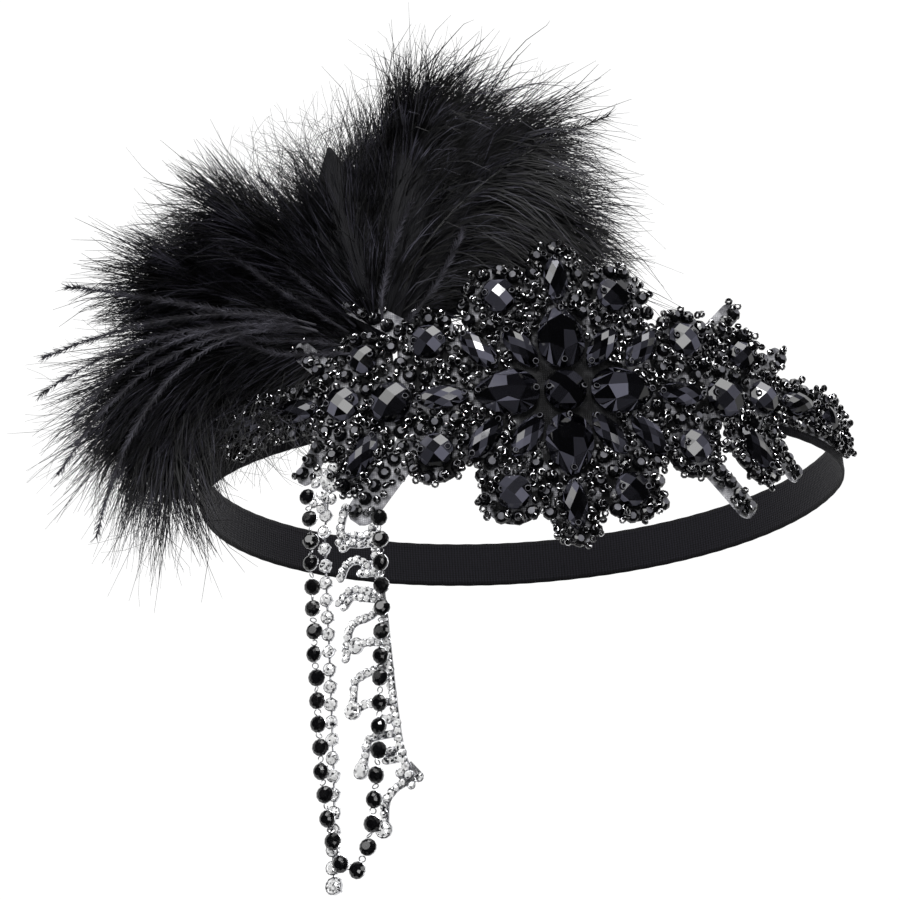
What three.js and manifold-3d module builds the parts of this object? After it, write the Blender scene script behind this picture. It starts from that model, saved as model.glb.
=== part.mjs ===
// A flapper headband: an elastic loop, an appliqué of sew-on stones, a feather plume and hanging chains.
// Millimetres. The loop lies level in XY, the appliqué faces -Y, +X is the viewer's right and +Z is up.
// The origin is the middle of the head loop.

import * as THREE from "three";
import { ConvexGeometry } from "three/addons/geometries/ConvexGeometry.js";
import { mergeVertices } from "three/addons/utils/BufferGeometryUtils.js";
import Module from "manifold-3d";

const wasm = await Module();
wasm.setup();

// Head loop: two half ellipses that meet over the ears
const HEAD_HALF_WIDTH = 99;
const FRONT_DEPTH = 70;
const BACK_DEPTH = 92;
const ELASTIC_WIDTH = 15;
const ELASTIC_THICKNESS = 1.2;
const STATIONS_PER_QUARTER = 16;

// Appliqué backing of stiffened organza
const BACKING_THICKNESS = 1.2;
const BACKING_DROP = 1.5;
const BACKING_EDGE = 0.7;
const SEAT_GAP = 0.3;

// Sew-on stones
const CENTRE_DIAMETER = 12;
const LARGE_DIAMETER = 12;
const MEDIUM_DIAMETER = 10;
const SMALL_DIAMETER = 8.5;
const PEAR_LENGTH = 18.5;
const PEAR_WIDTH = 13.6;
const NAVETTE_LENGTH = 15;
const NAVETTE_WIDTH = 7;
const END_LENGTH = 11;
const END_WIDTH = 6;
const STONE_HEIGHT_SHARE = 0.36;
const GIRDLE_HEIGHT = 1.2;
const STONE_GAP = 0.8;

// Small round stones sewn between and around the others
const CHATON_DIAMETER = 4.3;
const CHATON_HEIGHT = 2.6;
const CHATON_TABLE_SHARE = 0.5;
const CHATON_GAP = 0.25;

// Fronds and the two tails of the backing
const FROND_WIDTH = 6;
const TAIL_WIDTH = 15;
const LEFT_TAIL_OVERHANG = 13;
const RIGHT_TAIL_OVERHANG = 23;

// The chains hang from a place beside and below the tip of the left lower outer frond
const HANG_ASIDE = 2.2;
const HANG_DROP = 1.4;

// Jet chain, hung as one loop
const JET_DIAMETER = 4.4;
const JET_DEPTH = 2.8;
const JET_PITCH = 6.5;
const JET_WIRE = 0.9;

// Crystal cup chain
const CUP_WIDTH = 3.7;
const CUP_PITCH = 4.85;
const CUP_DEPTH = 1.8;
const CUP_BAR = 1.1;
const DROP_STONE = 4.6;

// Crystal scroll branch
const SCROLL_WIDTH = 2.4;
const SCROLL_DEPTH = 1.6;
const SCROLL_STONE = 5;

// Plume
const PLUME_REACH = 100;
const LOCK_WIDTH = 27;
const LOCK_DEPTH = 13;
const KNOT_WIDTH = 15;
const KNOT_DEPTH = 6;

const degrees = THREE.MathUtils.degToRad;
const turned = (point, angle) => point.clone().rotateAround(new THREE.Vector2(), degrees(angle));
const polar = (length, angle) => turned(new THREE.Vector2(length, 0), angle);

const material = (color, roughness, metalness) => new THREE.MeshStandardMaterial(
  { color, roughness, metalness });
const elasticCloth = material(0x17151c, 0.8, 0);
const organza = material(0x8f9096, 0.6, 0.2);
const jetGlass = material(0x0a0a0d, 0.1, 0);
const silverCrystal = material(0xd9dbe0, 0.15, 0.8);
const blackFeather = material(0x0d0c10, 0.9, 0);

// Places on the band

const frontQuarter = new THREE.EllipseCurve(0, 0, HEAD_HALF_WIDTH, FRONT_DEPTH, -Math.PI / 2, 0);
frontQuarter.arcLengthDivisions = 400;
const quarterLength = frontQuarter.getLength();
const stationStep = quarterLength / STATIONS_PER_QUARTER;
const backingBack = ELASTIC_THICKNESS / 2 + SEAT_GAP;
const backingFront = backingBack + BACKING_THICKNESS;
const stoneSeat = backingFront + SEAT_GAP;

// Axes of the band's surface at an arc length from its front: along it, up it and out of it.
function bandFrame(across) {
  const share = Math.min(Math.abs(across) / quarterLength, 1);
  const side = across < 0 ? -1 : 1;
  const point = frontQuarter.getPointAt(share);
  const tangent = frontQuarter.getTangentAt(share);
  const along = new THREE.Vector3(tangent.x, side * tangent.y, 0);
  const up = new THREE.Vector3(0, 0, 1);
  const out = new THREE.Vector3(side * tangent.y, -tangent.x, 0);
  return { origin: new THREE.Vector3(side * point.x, point.y, 0), along, up, out };
}

function onBand(across, rise, out) {
  const frame = bandFrame(across);
  return frame.origin.addScaledVector(frame.out, out).setZ(rise);
}

// A mesh whose own X runs along the band, Y up it and Z out of it, turned in that surface.
function placeOnBand(mesh, across, rise, out, turn = 0) {
  const frame = bandFrame(across);
  mesh.position.copy(onBand(across, rise, out));
  const basis = new THREE.Matrix4().makeBasis(frame.along, frame.up, frame.out);
  mesh.quaternion.setFromRotationMatrix(basis).multiply(
    new THREE.Quaternion().setFromAxisAngle(new THREE.Vector3(0, 0, 1), degrees(turn)));
  mesh.updateMatrixWorld(true);
  return mesh;
}

// Solids

function toSolid(geometry) {
  const bare = new THREE.BufferGeometry();
  bare.setAttribute("position", geometry.getAttribute("position").clone());
  bare.setIndex(geometry.index);
  const merged = mergeVertices(bare, 1e-4);
  return new wasm.Manifold(new wasm.Mesh({
    numProp: 3,
    vertProperties: merged.attributes.position.array,
    triVerts: new Uint32Array(merged.index.array),
  }));
}

function toGeometry(solid) {
  const mesh = solid.getMesh();
  const geometry = new THREE.BufferGeometry();
  geometry.setAttribute("position", new THREE.BufferAttribute(new Float32Array(mesh.vertProperties), 3));
  geometry.setIndex(new THREE.BufferAttribute(new Uint32Array(mesh.triVerts), 1));
  return geometry;
}

function join(geometries) {
  let whole = toSolid(geometries[0]);
  for (const geometry of geometries.slice(1)) whole = whole.add(toSolid(geometry));
  return toGeometry(whole);
}

function part(name, geometry, finish) {
  const mesh = new THREE.Mesh(geometry, finish);
  mesh.name = name;
  return mesh;
}

// A closed skin over rings of points, each ring turning the same way round the path.
function loft(rings) {
  const count = rings[0].length;
  const points = rings.flat();
  const faces = [];
  for (let ring = 0; ring + 1 < rings.length; ring++) {
    for (let k = 0; k < count; k++) {
      const a = ring * count + k;
      const b = ring * count + (k + 1) % count;
      faces.push(a, b, b + count, a, b + count, a + count);
    }
  }
  const last = (rings.length - 1) * count;
  for (let k = 1; k + 1 < count; k++) faces.push(0, k + 1, k, last, last + k, last + k + 1);
  const geometry = new THREE.BufferGeometry().setFromPoints(points);
  geometry.setIndex(faces);
  return geometry;
}

function flatPlate(outline, thickness) {
  const shape = new THREE.Shape(outline);
  return new THREE.ExtrudeGeometry(shape, { depth: thickness, bevelEnabled: false });
}

// Elastic loop: an upright strip bent round the head, with the appliqué's own stations in front.
function elasticLoop() {
  const outline = (out) => {
    const points = [];
    for (let k = -STATIONS_PER_QUARTER; k < STATIONS_PER_QUARTER; k++) {
      const place = onBand(k * stationStep, 0, out);
      points.push(new THREE.Vector2(place.x, place.y));
    }
    const backPoints = 2 * STATIONS_PER_QUARTER;
    for (let k = 0; k < backPoints; k++) {
      const angle = Math.PI * k / backPoints;
      const across = (HEAD_HALF_WIDTH + out) * Math.cos(angle);
      points.push(new THREE.Vector2(across, (BACK_DEPTH + out) * Math.sin(angle)));
    }
    return points;
  };
  const shape = new THREE.Shape(outline(ELASTIC_THICKNESS / 2));
  shape.holes.push(new THREE.Path(outline(-ELASTIC_THICKNESS / 2).reverse()));
  const geometry = new THREE.ExtrudeGeometry(shape, { depth: ELASTIC_WIDTH, bevelEnabled: false });
  const loop = part("elastic_band", geometry, elasticCloth);
  loop.position.z = -ELASTIC_WIDTH / 2;
  return loop;
}

// Stone cuts

const CUTS = {
  centre: { length: CENTRE_DIAMETER, width: CENTRE_DIAMETER, outline: "round", facet: 0.4 },
  large: { length: LARGE_DIAMETER, width: LARGE_DIAMETER, outline: "round", facet: 0.4 },
  medium: { length: MEDIUM_DIAMETER, width: MEDIUM_DIAMETER, outline: "round", facet: 0.4 },
  small: { length: SMALL_DIAMETER, width: SMALL_DIAMETER, outline: "round", facet: 0.4 },
  pear: { length: PEAR_LENGTH, width: PEAR_WIDTH, outline: "pear" },
  navette: { length: NAVETTE_LENGTH, width: NAVETTE_WIDTH, outline: "navette", facet: 0.3 },
  end: { length: END_LENGTH, width: END_WIDTH, outline: "navette", facet: 0.3 },
};

// A point of a stone's outline, with both half sizes taken as 1. A pear's narrow end is at +X.
const NAVETTE_POINT_POWER = 0.5;
const PEAR_POINT_POWER = 0.15;
const PEAR_WIDEST = 0.91;
const OUTLINES = {
  round: (angle) => new THREE.Vector2(Math.cos(angle), Math.sin(angle)),
  navette: (angle) => new THREE.Vector2(
    Math.cos(angle), Math.sin(angle) * Math.abs(Math.sin(angle)) ** NAVETTE_POINT_POWER),
  pear: (angle) => new THREE.Vector2(
    Math.cos(angle), Math.sin(angle) * ((1 - Math.cos(angle)) / 2) ** PEAR_POINT_POWER / PEAR_WIDEST),
};

function outlinePoint(cut, angle, grow = 0) {
  const point = OUTLINES[cut.outline](angle);
  return point.multiply(new THREE.Vector2(cut.length / 2 + grow, cut.width / 2 + grow));
}

// The corners of a cut's facets, as shares of its half length and half width. They lie on a dome that
// falls with the square of the distance from its middle, where both patterns give flat facets.
const LATTICE_MARGIN = 0.9;
const DOME_FALL = 0.8;

// Checkerboard: the corners of a diamond lattice, with one diamond as the table.
function latticeCorners(cut) {
  const inside = (x, y) => {
    const angle = Math.acos(THREE.MathUtils.clamp(x / LATTICE_MARGIN, -1, 1));
    return Math.abs(x) < LATTICE_MARGIN && Math.abs(y) < LATTICE_MARGIN * OUTLINES[cut.outline](angle).y;
  };
  const corners = [];
  for (let i = -3; i <= 3; i++) {
    for (let j = -3; j <= 3; j++) {
      const corner = [i * cut.facet, j * cut.facet];
      if ((i + j) % 2 !== 0 && inside(...corner)) corners.push(corner);
    }
  }
  return corners;
}

// Four kites that meet in the middle: two corners of each lie on the axes and the fourth one outside.
const KITE_ALONG = 0.58;
const KITE_ASIDE = 0.45;
const KITE_OUTER = 0.35;

function kiteCorners() {
  const rise = KITE_OUTER * (KITE_ALONG - KITE_OUTER);
  const aside = (KITE_ASIDE + Math.sqrt(KITE_ASIDE ** 2 + 4 * rise)) / 2;
  return [[0, 0], [KITE_ALONG, 0], [-KITE_ALONG, 0], [0, KITE_ASIDE], [0, -KITE_ASIDE],
    [KITE_OUTER, aside], [KITE_OUTER, -aside], [-KITE_OUTER, aside], [-KITE_OUTER, -aside]];
}

// A sew-on stone: the faceted dome stands on an upright girdle.

function stoneGeometry(cut) {
  const sides = cut.outline === "round" ? 10 : 12;
  const height = GIRDLE_HEIGHT + STONE_HEIGHT_SHARE * cut.width;
  const halfLength = cut.length / 2;
  const halfWidth = cut.width / 2;
  const corners = [];
  for (let k = 0; k < sides; k++) {
    const edge = outlinePoint(cut, 2 * Math.PI * (k + 0.5) / sides);
    corners.push(new THREE.Vector3(edge.x, edge.y, 0), new THREE.Vector3(edge.x, edge.y, GIRDLE_HEIGHT));
  }
  for (const [x, y] of cut.facet ? latticeCorners(cut) : kiteCorners()) {
    const fall = (height - GIRDLE_HEIGHT) * DOME_FALL * (x * x + y * y);
    corners.push(new THREE.Vector3(x * halfLength, y * halfWidth, height - fall));
  }
  return new ConvexGeometry(corners);
}

// Circles that cover a stone's plan, for keeping stones apart.
const COVER_ANGLES = [0, 30, 55, 90, 125, 150, 180];
const LEAST_COVER = 0.5;

function coverCircles(stone) {
  const cut = CUTS[stone.cut];
  if (cut.outline === "round") return [{ x: stone.across, y: stone.rise, r: cut.width / 2 }];
  return COVER_ANGLES.map((angle) => {
    const edge = outlinePoint(cut, degrees(angle));
    const radius = Math.max(edge.y, LEAST_COVER);
    const reach = cut.length / 2 - radius;
    const local = polar(THREE.MathUtils.clamp(edge.x, -reach, reach), stone.turn);
    return { x: stone.across + local.x, y: stone.rise + local.y, r: radius };
  });
}

// The stones of the right half and the middle, from the centre outward. Each is pushed from the middle
// of another stone along a heading until it clears all that are placed, with room for so many chatons.
const STONE_CHART = [
  { name: "pear_side", cut: "pear", from: "centre", heading: 0, turn: 0, room: 0 },
  { name: "pear_top", cut: "pear", from: "centre", heading: 90, turn: 90, room: 0 },
  { name: "pear_bottom", cut: "pear", from: "centre", heading: -90, turn: -90, room: 0 },
  { name: "inner_top", cut: "navette", from: "centre", heading: 49, turn: 53, room: 0 },
  { name: "inner_bottom", cut: "navette", from: "centre", heading: -49, turn: -53, room: 0 },
  { name: "tip_top", cut: "navette", from: "centre", heading: 90, turn: 90, room: 0 },
  { name: "tip_bottom", cut: "navette", from: "centre", heading: -90, turn: -90, room: 0 },
  { name: "spine_inner", cut: "navette", from: "centre", heading: 0, turn: 0, room: 0 },
  { name: "lobe_top", cut: "medium", from: "centre", heading: 61, turn: 0, room: 1 },
  { name: "lobe_bottom", cut: "medium", from: "centre", heading: -61, turn: 0, room: 1 },
  { name: "outer_top", cut: "navette", from: "centre", heading: 30, turn: 50, room: 0 },
  { name: "outer_bottom", cut: "navette", from: "centre", heading: -30, turn: -50, room: 0 },
  { name: "shoulder_top", cut: "medium", from: "centre", heading: 25, turn: 0, room: 0.6 },
  { name: "shoulder_bottom", cut: "medium", from: "centre", heading: -23, turn: 0, room: 0.6 },
  { name: "spine_large", cut: "large", from: "spine_inner", heading: 2, turn: 0, room: 0 },
  { name: "wing_top", cut: "small", from: "spine_large", heading: 63, turn: 0, room: 1.1 },
  { name: "wing_bottom", cut: "navette", from: "spine_large", heading: -58, turn: -55, room: 0.6 },
  { name: "spine_medium", cut: "medium", from: "spine_large", heading: 8, turn: 0, room: 0.5 },
  { name: "spine_outer", cut: "navette", from: "spine_medium", heading: 4, turn: 5, room: 0.2 },
  { name: "spine_end", cut: "end", from: "spine_outer", heading: 0, turn: -30, room: 0.8 },
];

// The least way along a heading at which moving circles clear the placed ones.
function clearWay(moving, placed, heading, room) {
  const ahead = polar(1, heading);
  let way = 0;
  for (const one of moving) {
    for (const other of placed) {
      const dx = other.x - one.x;
      const dy = other.y - one.y;
      const along = dx * ahead.x + dy * ahead.y;
      const aside = dx * ahead.y - dy * ahead.x;
      const reach = one.r + other.r + STONE_GAP + room * CHATON_DIAMETER;
      if (Math.abs(aside) < reach) way = Math.max(way, along + Math.sqrt(reach * reach - aside * aside));
    }
  }
  return way;
}

function mirrored(stone) {
  return { ...stone, across: -stone.across, turn: 180 - stone.turn };
}

function layStones() {
  const stones = [{ name: "centre", cut: "centre", across: 0, rise: 0, turn: 0 }];
  for (const row of STONE_CHART) {
    const start = stones.find((stone) => stone.name === row.from || stone.name === `${row.from}_right`);
    const stone = { name: row.name, cut: row.cut, across: start.across, rise: start.rise, turn: row.turn };
    const way = clearWay(coverCircles(stone), stones.flatMap(coverCircles), row.heading, row.room);
    const place = polar(way, row.heading);
    stone.across += place.x;
    stone.rise += place.y;
    const inMiddle = Math.abs(stone.across) < 0.01;
    if (inMiddle) {
      stones.push(stone);
    } else {
      stones.push({ ...stone, name: `${row.name}_right` }, { ...mirrored(stone), name: `${row.name}_left` });
    }
  }
  return stones;
}

// Fronds: strips of backing that stand out of the edge. Each starts beside the middle of a stone and runs
// along a heading; those of the left side (side -1) are given as if they were on the right.
const stones = layStones();
const stoneNamed = (name) => stones.find((stone) => stone.name === name);
const FRONDS = [
  { side: 1, from: "shoulder_top", aside: -4.5, heading: 45, length: 23, width: 1 },
  { side: 1, from: "spine_medium", aside: 3.8, heading: 46, length: 20, width: 1 },
  { side: 1, from: "spine_medium", aside: -5.5, heading: -51, length: 25.3, width: 1 },
  { side: 1, from: "shoulder_bottom", aside: 0, heading: -47, length: 25.5, width: 1.2 },
  { side: -1, from: "shoulder_top", aside: 0, heading: 36, length: 29, width: 1 },
  { side: -1, from: "spine_medium", aside: 3.8, heading: 48, length: 25, width: 1 },
  { side: -1, from: "spine_medium", aside: 0, heading: -55, length: 25, width: 1 },
  { side: -1, from: "shoulder_bottom", aside: 7, heading: -49, length: 28.5, width: 1.5 },
];
const HANGING_FROND = FRONDS[6];
const FAR_HANGING_FROND = FRONDS[7];

function frondLine(frond) {
  const stone = stoneNamed(`${frond.from}_right`);
  const flip = new THREE.Vector2(frond.side, 1);
  const root = new THREE.Vector2(stone.across, stone.rise).add(polar(frond.aside, frond.heading + 90));
  const tip = root.clone().add(polar(frond.length, frond.heading));
  return { root: root.multiply(flip), tip: tip.multiply(flip) };
}

// Chatons round a stone: tried from its outer side both ways round, and kept near the rim where clear of
// all else.
const RINGED = ["lobe_top", "lobe_bottom", "tip_top", "tip_bottom", "shoulder_top", "shoulder_bottom",
  "wing_top", "wing_bottom", "spine_medium", "spine_outer", "spine_end"];
const TRIES_ROUND_STONE = 90;
const RIM_CHATON_SHARE = 0.85;
const CHATON_RADIUS = CHATON_DIAMETER / 2;
const CHATON_CLEARANCE = 0.3;
const ON_MIDDLE = 0.01;

const isRinged = (stone) => RINGED.some((name) => stone.name.startsWith(name));

function chatonIsClear(place, placed) {
  return placed.every((other) => {
    const distance = Math.hypot(other.x - place.x, other.y - place.y);
    return distance >= CHATON_RADIUS + other.r + CHATON_GAP;
  });
}

function isNearRim(place) {
  const depth = Math.min(edgeRise(place.x, 1) - place.y, place.y - edgeRise(place.x, -1));
  return depth < RIM_CHATON_SHARE * CHATON_DIAMETER;
}

// Places round a stone at which a chaton may stand, from its outer side both ways round.
function placesRound(stone) {
  const outward = Math.atan2(stone.rise, stone.across) - degrees(stone.turn);
  const places = [];
  for (let k = 0; k <= TRIES_ROUND_STONE; k++) {
    for (const way of k === 0 ? [1] : [1, -1]) {
      const angle = outward + way * Math.PI * k / TRIES_ROUND_STONE;
      const edge = outlinePoint(CUTS[stone.cut], angle, CHATON_RADIUS + CHATON_GAP + CHATON_CLEARANCE);
      places.push(turned(edge, stone.turn).add(new THREE.Vector2(stone.across, stone.rise)));
    }
  }
  return places;
}

function layChatons() {
  const placed = stones.flatMap(coverCircles);
  const chatons = [];
  const add = (place) => {
    if (!chatonIsClear(place, placed)) return;
    chatons.push(place);
    placed.push({ x: place.x, y: place.y, r: CHATON_RADIUS });
  };
  for (const frond of FRONDS) {
    const { root, tip } = frondLine(frond);
    const pitch = CHATON_DIAMETER + CHATON_GAP;
    for (let way = frond.length - pitch; way > 0; way -= pitch) {
      add(root.clone().lerp(tip, way / frond.length));
    }
  }
  for (const stone of stones.filter(isRinged)) {
    for (const place of placesRound(stone)) {
      if (Math.abs(place.x) < ON_MIDDLE) place.x = 0;
      if (isNearRim(place)) add(place);
    }
  }
  return chatons;
}

// The backing's edge above or below the middle line at one station: it follows the stones near it, wide
// enough for the chatons round them, and the two tails.
const RIM_WIDTH = CHATON_DIAMETER + CHATON_GAP + BACKING_EDGE;
const tailStart = stoneNamed("spine_medium_right").across;
const tailEnds = [-LEFT_TAIL_OVERHANG - stoneNamed("spine_end_right").across,
  RIGHT_TAIL_OVERHANG + stoneNamed("spine_end_right").across];
const tailRise = stoneNamed("spine_end_right").rise;

function edgeRise(across, side) {
  const circles = stones.flatMap((stone) => coverCircles(stone).map(
    (circle) => ({ ...circle, r: circle.r + (isRinged(stone) ? RIM_WIDTH : BACKING_EDGE) })));
  const tailRadius = TAIL_WIDTH / 2;
  const tailMiddle = THREE.MathUtils.clamp(across, tailEnds[0] + tailRadius, tailEnds[1] - tailRadius);
  if (Math.abs(across) > tailStart) circles.push({ x: tailMiddle, y: tailRise, r: tailRadius });
  const rises = circles.filter((circle) => Math.abs(across - circle.x) < circle.r)
    .map((circle) => side * circle.y + Math.sqrt(circle.r ** 2 - (across - circle.x) ** 2));
  return side * Math.max(...rises);
}

// One section of a backing strip from one edge point to the other, as a thin rectangle bent to the band.
function backingSection(lower, upper, back, front) {
  return [[lower, back], [upper, back], [upper, front], [lower, front]].map(
    ([edge, depth]) => onBand(edge.x, edge.y - BACKING_DROP, backingBack + depth));
}

function backingBody() {
  const halves = Math.floor(2 * tailEnds[1] / stationStep);
  const stations = Array.from({ length: 2 * halves + 1 }, (_, k) => (k - halves) * stationStep / 2);
  const [first, last] = [tailEnds[0] + BACKING_EDGE / 2, tailEnds[1] - BACKING_EDGE / 2];
  const between = (place) => place > first + BACKING_EDGE && place < last - BACKING_EDGE;
  const places = [first, ...stations.filter(between), last];
  return loft(places.map((across) => {
    const lower = new THREE.Vector2(across, edgeRise(across, -1));
    const upper = new THREE.Vector2(across, edgeRise(across, 1));
    return backingSection(lower, upper, 0, BACKING_THICKNESS);
  }));
}

// A frond keeps its width and ends round.
const FROND_SECTIONS = [[0, 1], [0.25, 1], [0.5, 1], [0.75, 1], [0.9, 0.85], [1, 0.4]];
const FROND_INSET = 0.15;

function frondStrip(frond) {
  const { root, tip } = frondLine(frond);
  const halfWidth = FROND_WIDTH * frond.width / 2;
  const aside = turned(tip.clone().sub(root).normalize(), 90);
  return loft(FROND_SECTIONS.map(([way, width]) => {
    const middle = root.clone().lerp(tip, way);
    const left = middle.clone().addScaledVector(aside, halfWidth * width);
    const right = middle.clone().addScaledVector(aside, -halfWidth * width);
    return backingSection(right, left, FROND_INSET, BACKING_THICKNESS - FROND_INSET);
  }));
}

function chatonGeometry() {
  const radius = CHATON_DIAMETER / 2;
  const profile = [[0, 0], [radius, 0], [CHATON_TABLE_SHARE * radius, CHATON_HEIGHT], [0, CHATON_HEIGHT]];
  const geometry = new THREE.LatheGeometry(profile.map(([x, y]) => new THREE.Vector2(x, y)), 8);
  return geometry.rotateX(Math.PI / 2);
}

function appliqueBacking() {
  const pieces = [backingBody(), ...FRONDS.map(frondStrip)];
  const sunk = backingFront - BACKING_THICKNESS / 2;
  for (const chaton of layChatons()) {
    const seat = placeOnBand(new THREE.Object3D(), chaton.x, chaton.y - BACKING_DROP, sunk);
    pieces.push(chatonGeometry().applyMatrix4(seat.matrixWorld));
  }
  return part("applique_backing", join(pieces), organza);
}

function mainStones() {
  const group = new THREE.Group();
  for (const stone of stones) {
    const mesh = part(`stone_${stone.name}`, stoneGeometry(CUTS[stone.cut]), jetGlass);
    group.add(placeOnBand(mesh, stone.across, stone.rise - BACKING_DROP, stoneSeat, stone.turn));
  }
  return group;
}

// The upright plane that the chains hang in, through the tips of two fronds.
function dropPlane() {
  const { tip } = frondLine(HANGING_FROND);
  const far = frondLine(FAR_HANGING_FROND).tip;
  const origin = onBand(tip.x, tip.y - BACKING_DROP - HANG_DROP, 0);
  const along = onBand(far.x, origin.z, 0).sub(origin).normalize();
  const up = new THREE.Vector3(0, 0, 1);
  const basis = new THREE.Matrix4().makeBasis(along, up, along.clone().cross(up));
  return basis.setPosition(origin.addScaledVector(along, HANG_ASIDE));
}

const dropBasis = dropPlane();
const jetMiddle = backingFront + SEAT_GAP + JET_DEPTH / 2;
const crystalMiddle = jetMiddle - JET_DEPTH / 2 - SEAT_GAP - CUP_DEPTH / 2;

// Routes of the hanging chains in that plane: aside and rise, and how far out of the crystals' middle.
const JET_ROUTE = [[0.3, -3.5], [0.6, -10], [0.3, -29], [0.2, -53], [0.3, -72], [0.9, -86], [2.2, -97],
  [4.6, -105.7], [8.1, -109.3], [11.4, -106.6], [13.1, -102.4], [14.9, -95], [16.6, -85], [18.1, -74],
  [19.3, -60], [20.6, -44], [21.5, -29], [21.7, -20], [21.6, -13.5]];
const CUP_ROUTE = [[4.9, 4.9, 2.2], [6.3, 0.2, 2.7], [5.8, -4.3, 1.2], [4.5, -8.5, 0], [3.5, -15, 0],
  [3.2, -49, 0], [2.8, -77, 0], [2.2, -94, 0], [1.2, -105, 0], [1.5, -111.5, 0]];

// Scroll branch: strips by name, their corners and how many stones wide, then the larger stones.
const SCROLL_STRIPS = {
  spine: { wide: 1, corners: [[18.4, -15.2], [19.2, -25], [20.3, -40], [21.7, -65], [23, -78], [25, -85]] },
  first_block: { wide: 2, corners: [[8.6, -18.5], [11, -17.2], [14, -18], [19, -18.4]] },
  first_tail: { wide: 1, corners: [[10.5, -8], [9.4, -11.2], [8.6, -14], [9, -17]] },
  second_arc: { wide: 1, corners: [[8.2, -27.8], [9.4, -25], [12, -23.5], [15, -24.4]] },
  second_block: { wide: 2, corners: [[14.2, -26.4], [20, -27]] },
  third_row: { wide: 1.8, corners: [[7.8, -35.6], [10.9, -32.8], [15.5, -34], [20, -35.2]] },
  third_curl: { wide: 1, corners: [[20, -38], [15.8, -40.4], [12, -41], [9.6, -43.2], [8.2, -51]] },
  third_row_end: { wide: 1, corners: [[11.8, -47.9], [15.4, -47.2], [20.5, -48.6]] },
  fourth_curl: { wide: 1, corners: [[20.8, -54.5], [12.2, -56.4], [10.3, -58.8], [9.6, -65.7]] },
  fourth_row: { wide: 1, corners: [[9.6, -65.7], [14, -64.2], [21.4, -64.8]] },
  comb_upper: { wide: 1, corners: [[18.6, -69.3], [22, -69.3]] },
  fifth_curl: { wide: 1, corners: [[22.4, -73.4], [14.2, -73.8], [13, -76.3], [12.2, -79.2], [11.4, -82.2]] },
  comb_lower: { wide: 2, corners: [[18.4, -79.2], [23.7, -79.2]] },
  end_block: { wide: 2.4, corners: [[23.6, -83.4], [26.8, -87.2]] },
  last_curl: { wide: 1, corners: [[25, -86.5], [21.5, -87.8], [19.2, -89.4], [17.7, -92], [17, -98.6]] },
};
const SCROLL_STONES = [[11.8, -47.9], [9.6, -65.7], [11.4, -82.2], [16.9, -98.6]];

// A stone with a table, its back at Z = 0, for a cup of any number of sides.
const CUP_RIM_SHARE = 0.2;

function cupStone(width, depth, sides) {
  const radius = width / 2;
  const profile = [[0, 0], [radius, CUP_RIM_SHARE * depth], [CHATON_TABLE_SHARE * radius, depth], [0, depth]];
  const geometry = new THREE.LatheGeometry(profile.map(([x, y]) => new THREE.Vector2(x, y)), sides);
  return geometry.rotateX(Math.PI / 2).rotateZ(Math.PI / sides);
}

function wireBetween(start, end, diameter, sides) {
  const way = end.clone().sub(start);
  const wire = new THREE.CylinderGeometry(diameter / 2, diameter / 2, way.length(), sides);
  const turn = new THREE.Quaternion().setFromUnitVectors(new THREE.Vector3(0, 1, 0), way.normalize());
  return wire.applyQuaternion(turn).translate(...start.clone().add(end).divideScalar(2).toArray());
}

function pitchedPlaces(route, pitch) {
  const curve = new THREE.CatmullRomCurve3(route);
  const count = Math.round(curve.getLength() / pitch);
  return curve.getSpacedPoints(count);
}

function chain(name, places, pieceAt, wireDiameter, wireSides, finish) {
  const pieces = places.map(pieceAt);
  for (let k = 0; k + 1 < places.length; k++) {
    pieces.push(wireBetween(places[k], places[k + 1], wireDiameter, wireSides));
  }
  const mesh = part(name, join(pieces), finish);
  mesh.applyMatrix4(dropBasis);
  return mesh;
}

// The wire runs a little behind the middle of the jet stones, where they are wide.
const JET_WIRE_SHARE = 0.4;

function jetChain() {
  const wireOut = jetMiddle + (JET_WIRE_SHARE - 0.5) * JET_DEPTH;
  const route = JET_ROUTE.map(([aside, rise]) => new THREE.Vector3(aside, rise, wireOut));
  const bead = (place) => cupStone(JET_DIAMETER, JET_DEPTH, 10)
    .translate(place.x, place.y, place.z - JET_WIRE_SHARE * JET_DEPTH);
  return chain("jet_chain", pitchedPlaces(route, JET_PITCH), bead, JET_WIRE, 5, jetGlass);
}

function crystalChain() {
  const route = CUP_ROUTE.map(([aside, rise, out]) => new THREE.Vector3(aside, rise, crystalMiddle + out));
  const places = pitchedPlaces(route, CUP_PITCH);
  const last = places.length - 1;
  const cup = (place, k) => {
    if (k === 0) return new THREE.BoxGeometry(CUP_BAR, CUP_BAR, CUP_BAR).translate(place.x, place.y, place.z);
    const width = k === last ? DROP_STONE : CUP_WIDTH;
    return cupStone(width, CUP_DEPTH, 8).translate(place.x, place.y, place.z - CUP_DEPTH / 2);
  };
  return chain("crystal_chain", places, cup, CUP_BAR, 4, silverCrystal);
}

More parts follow.
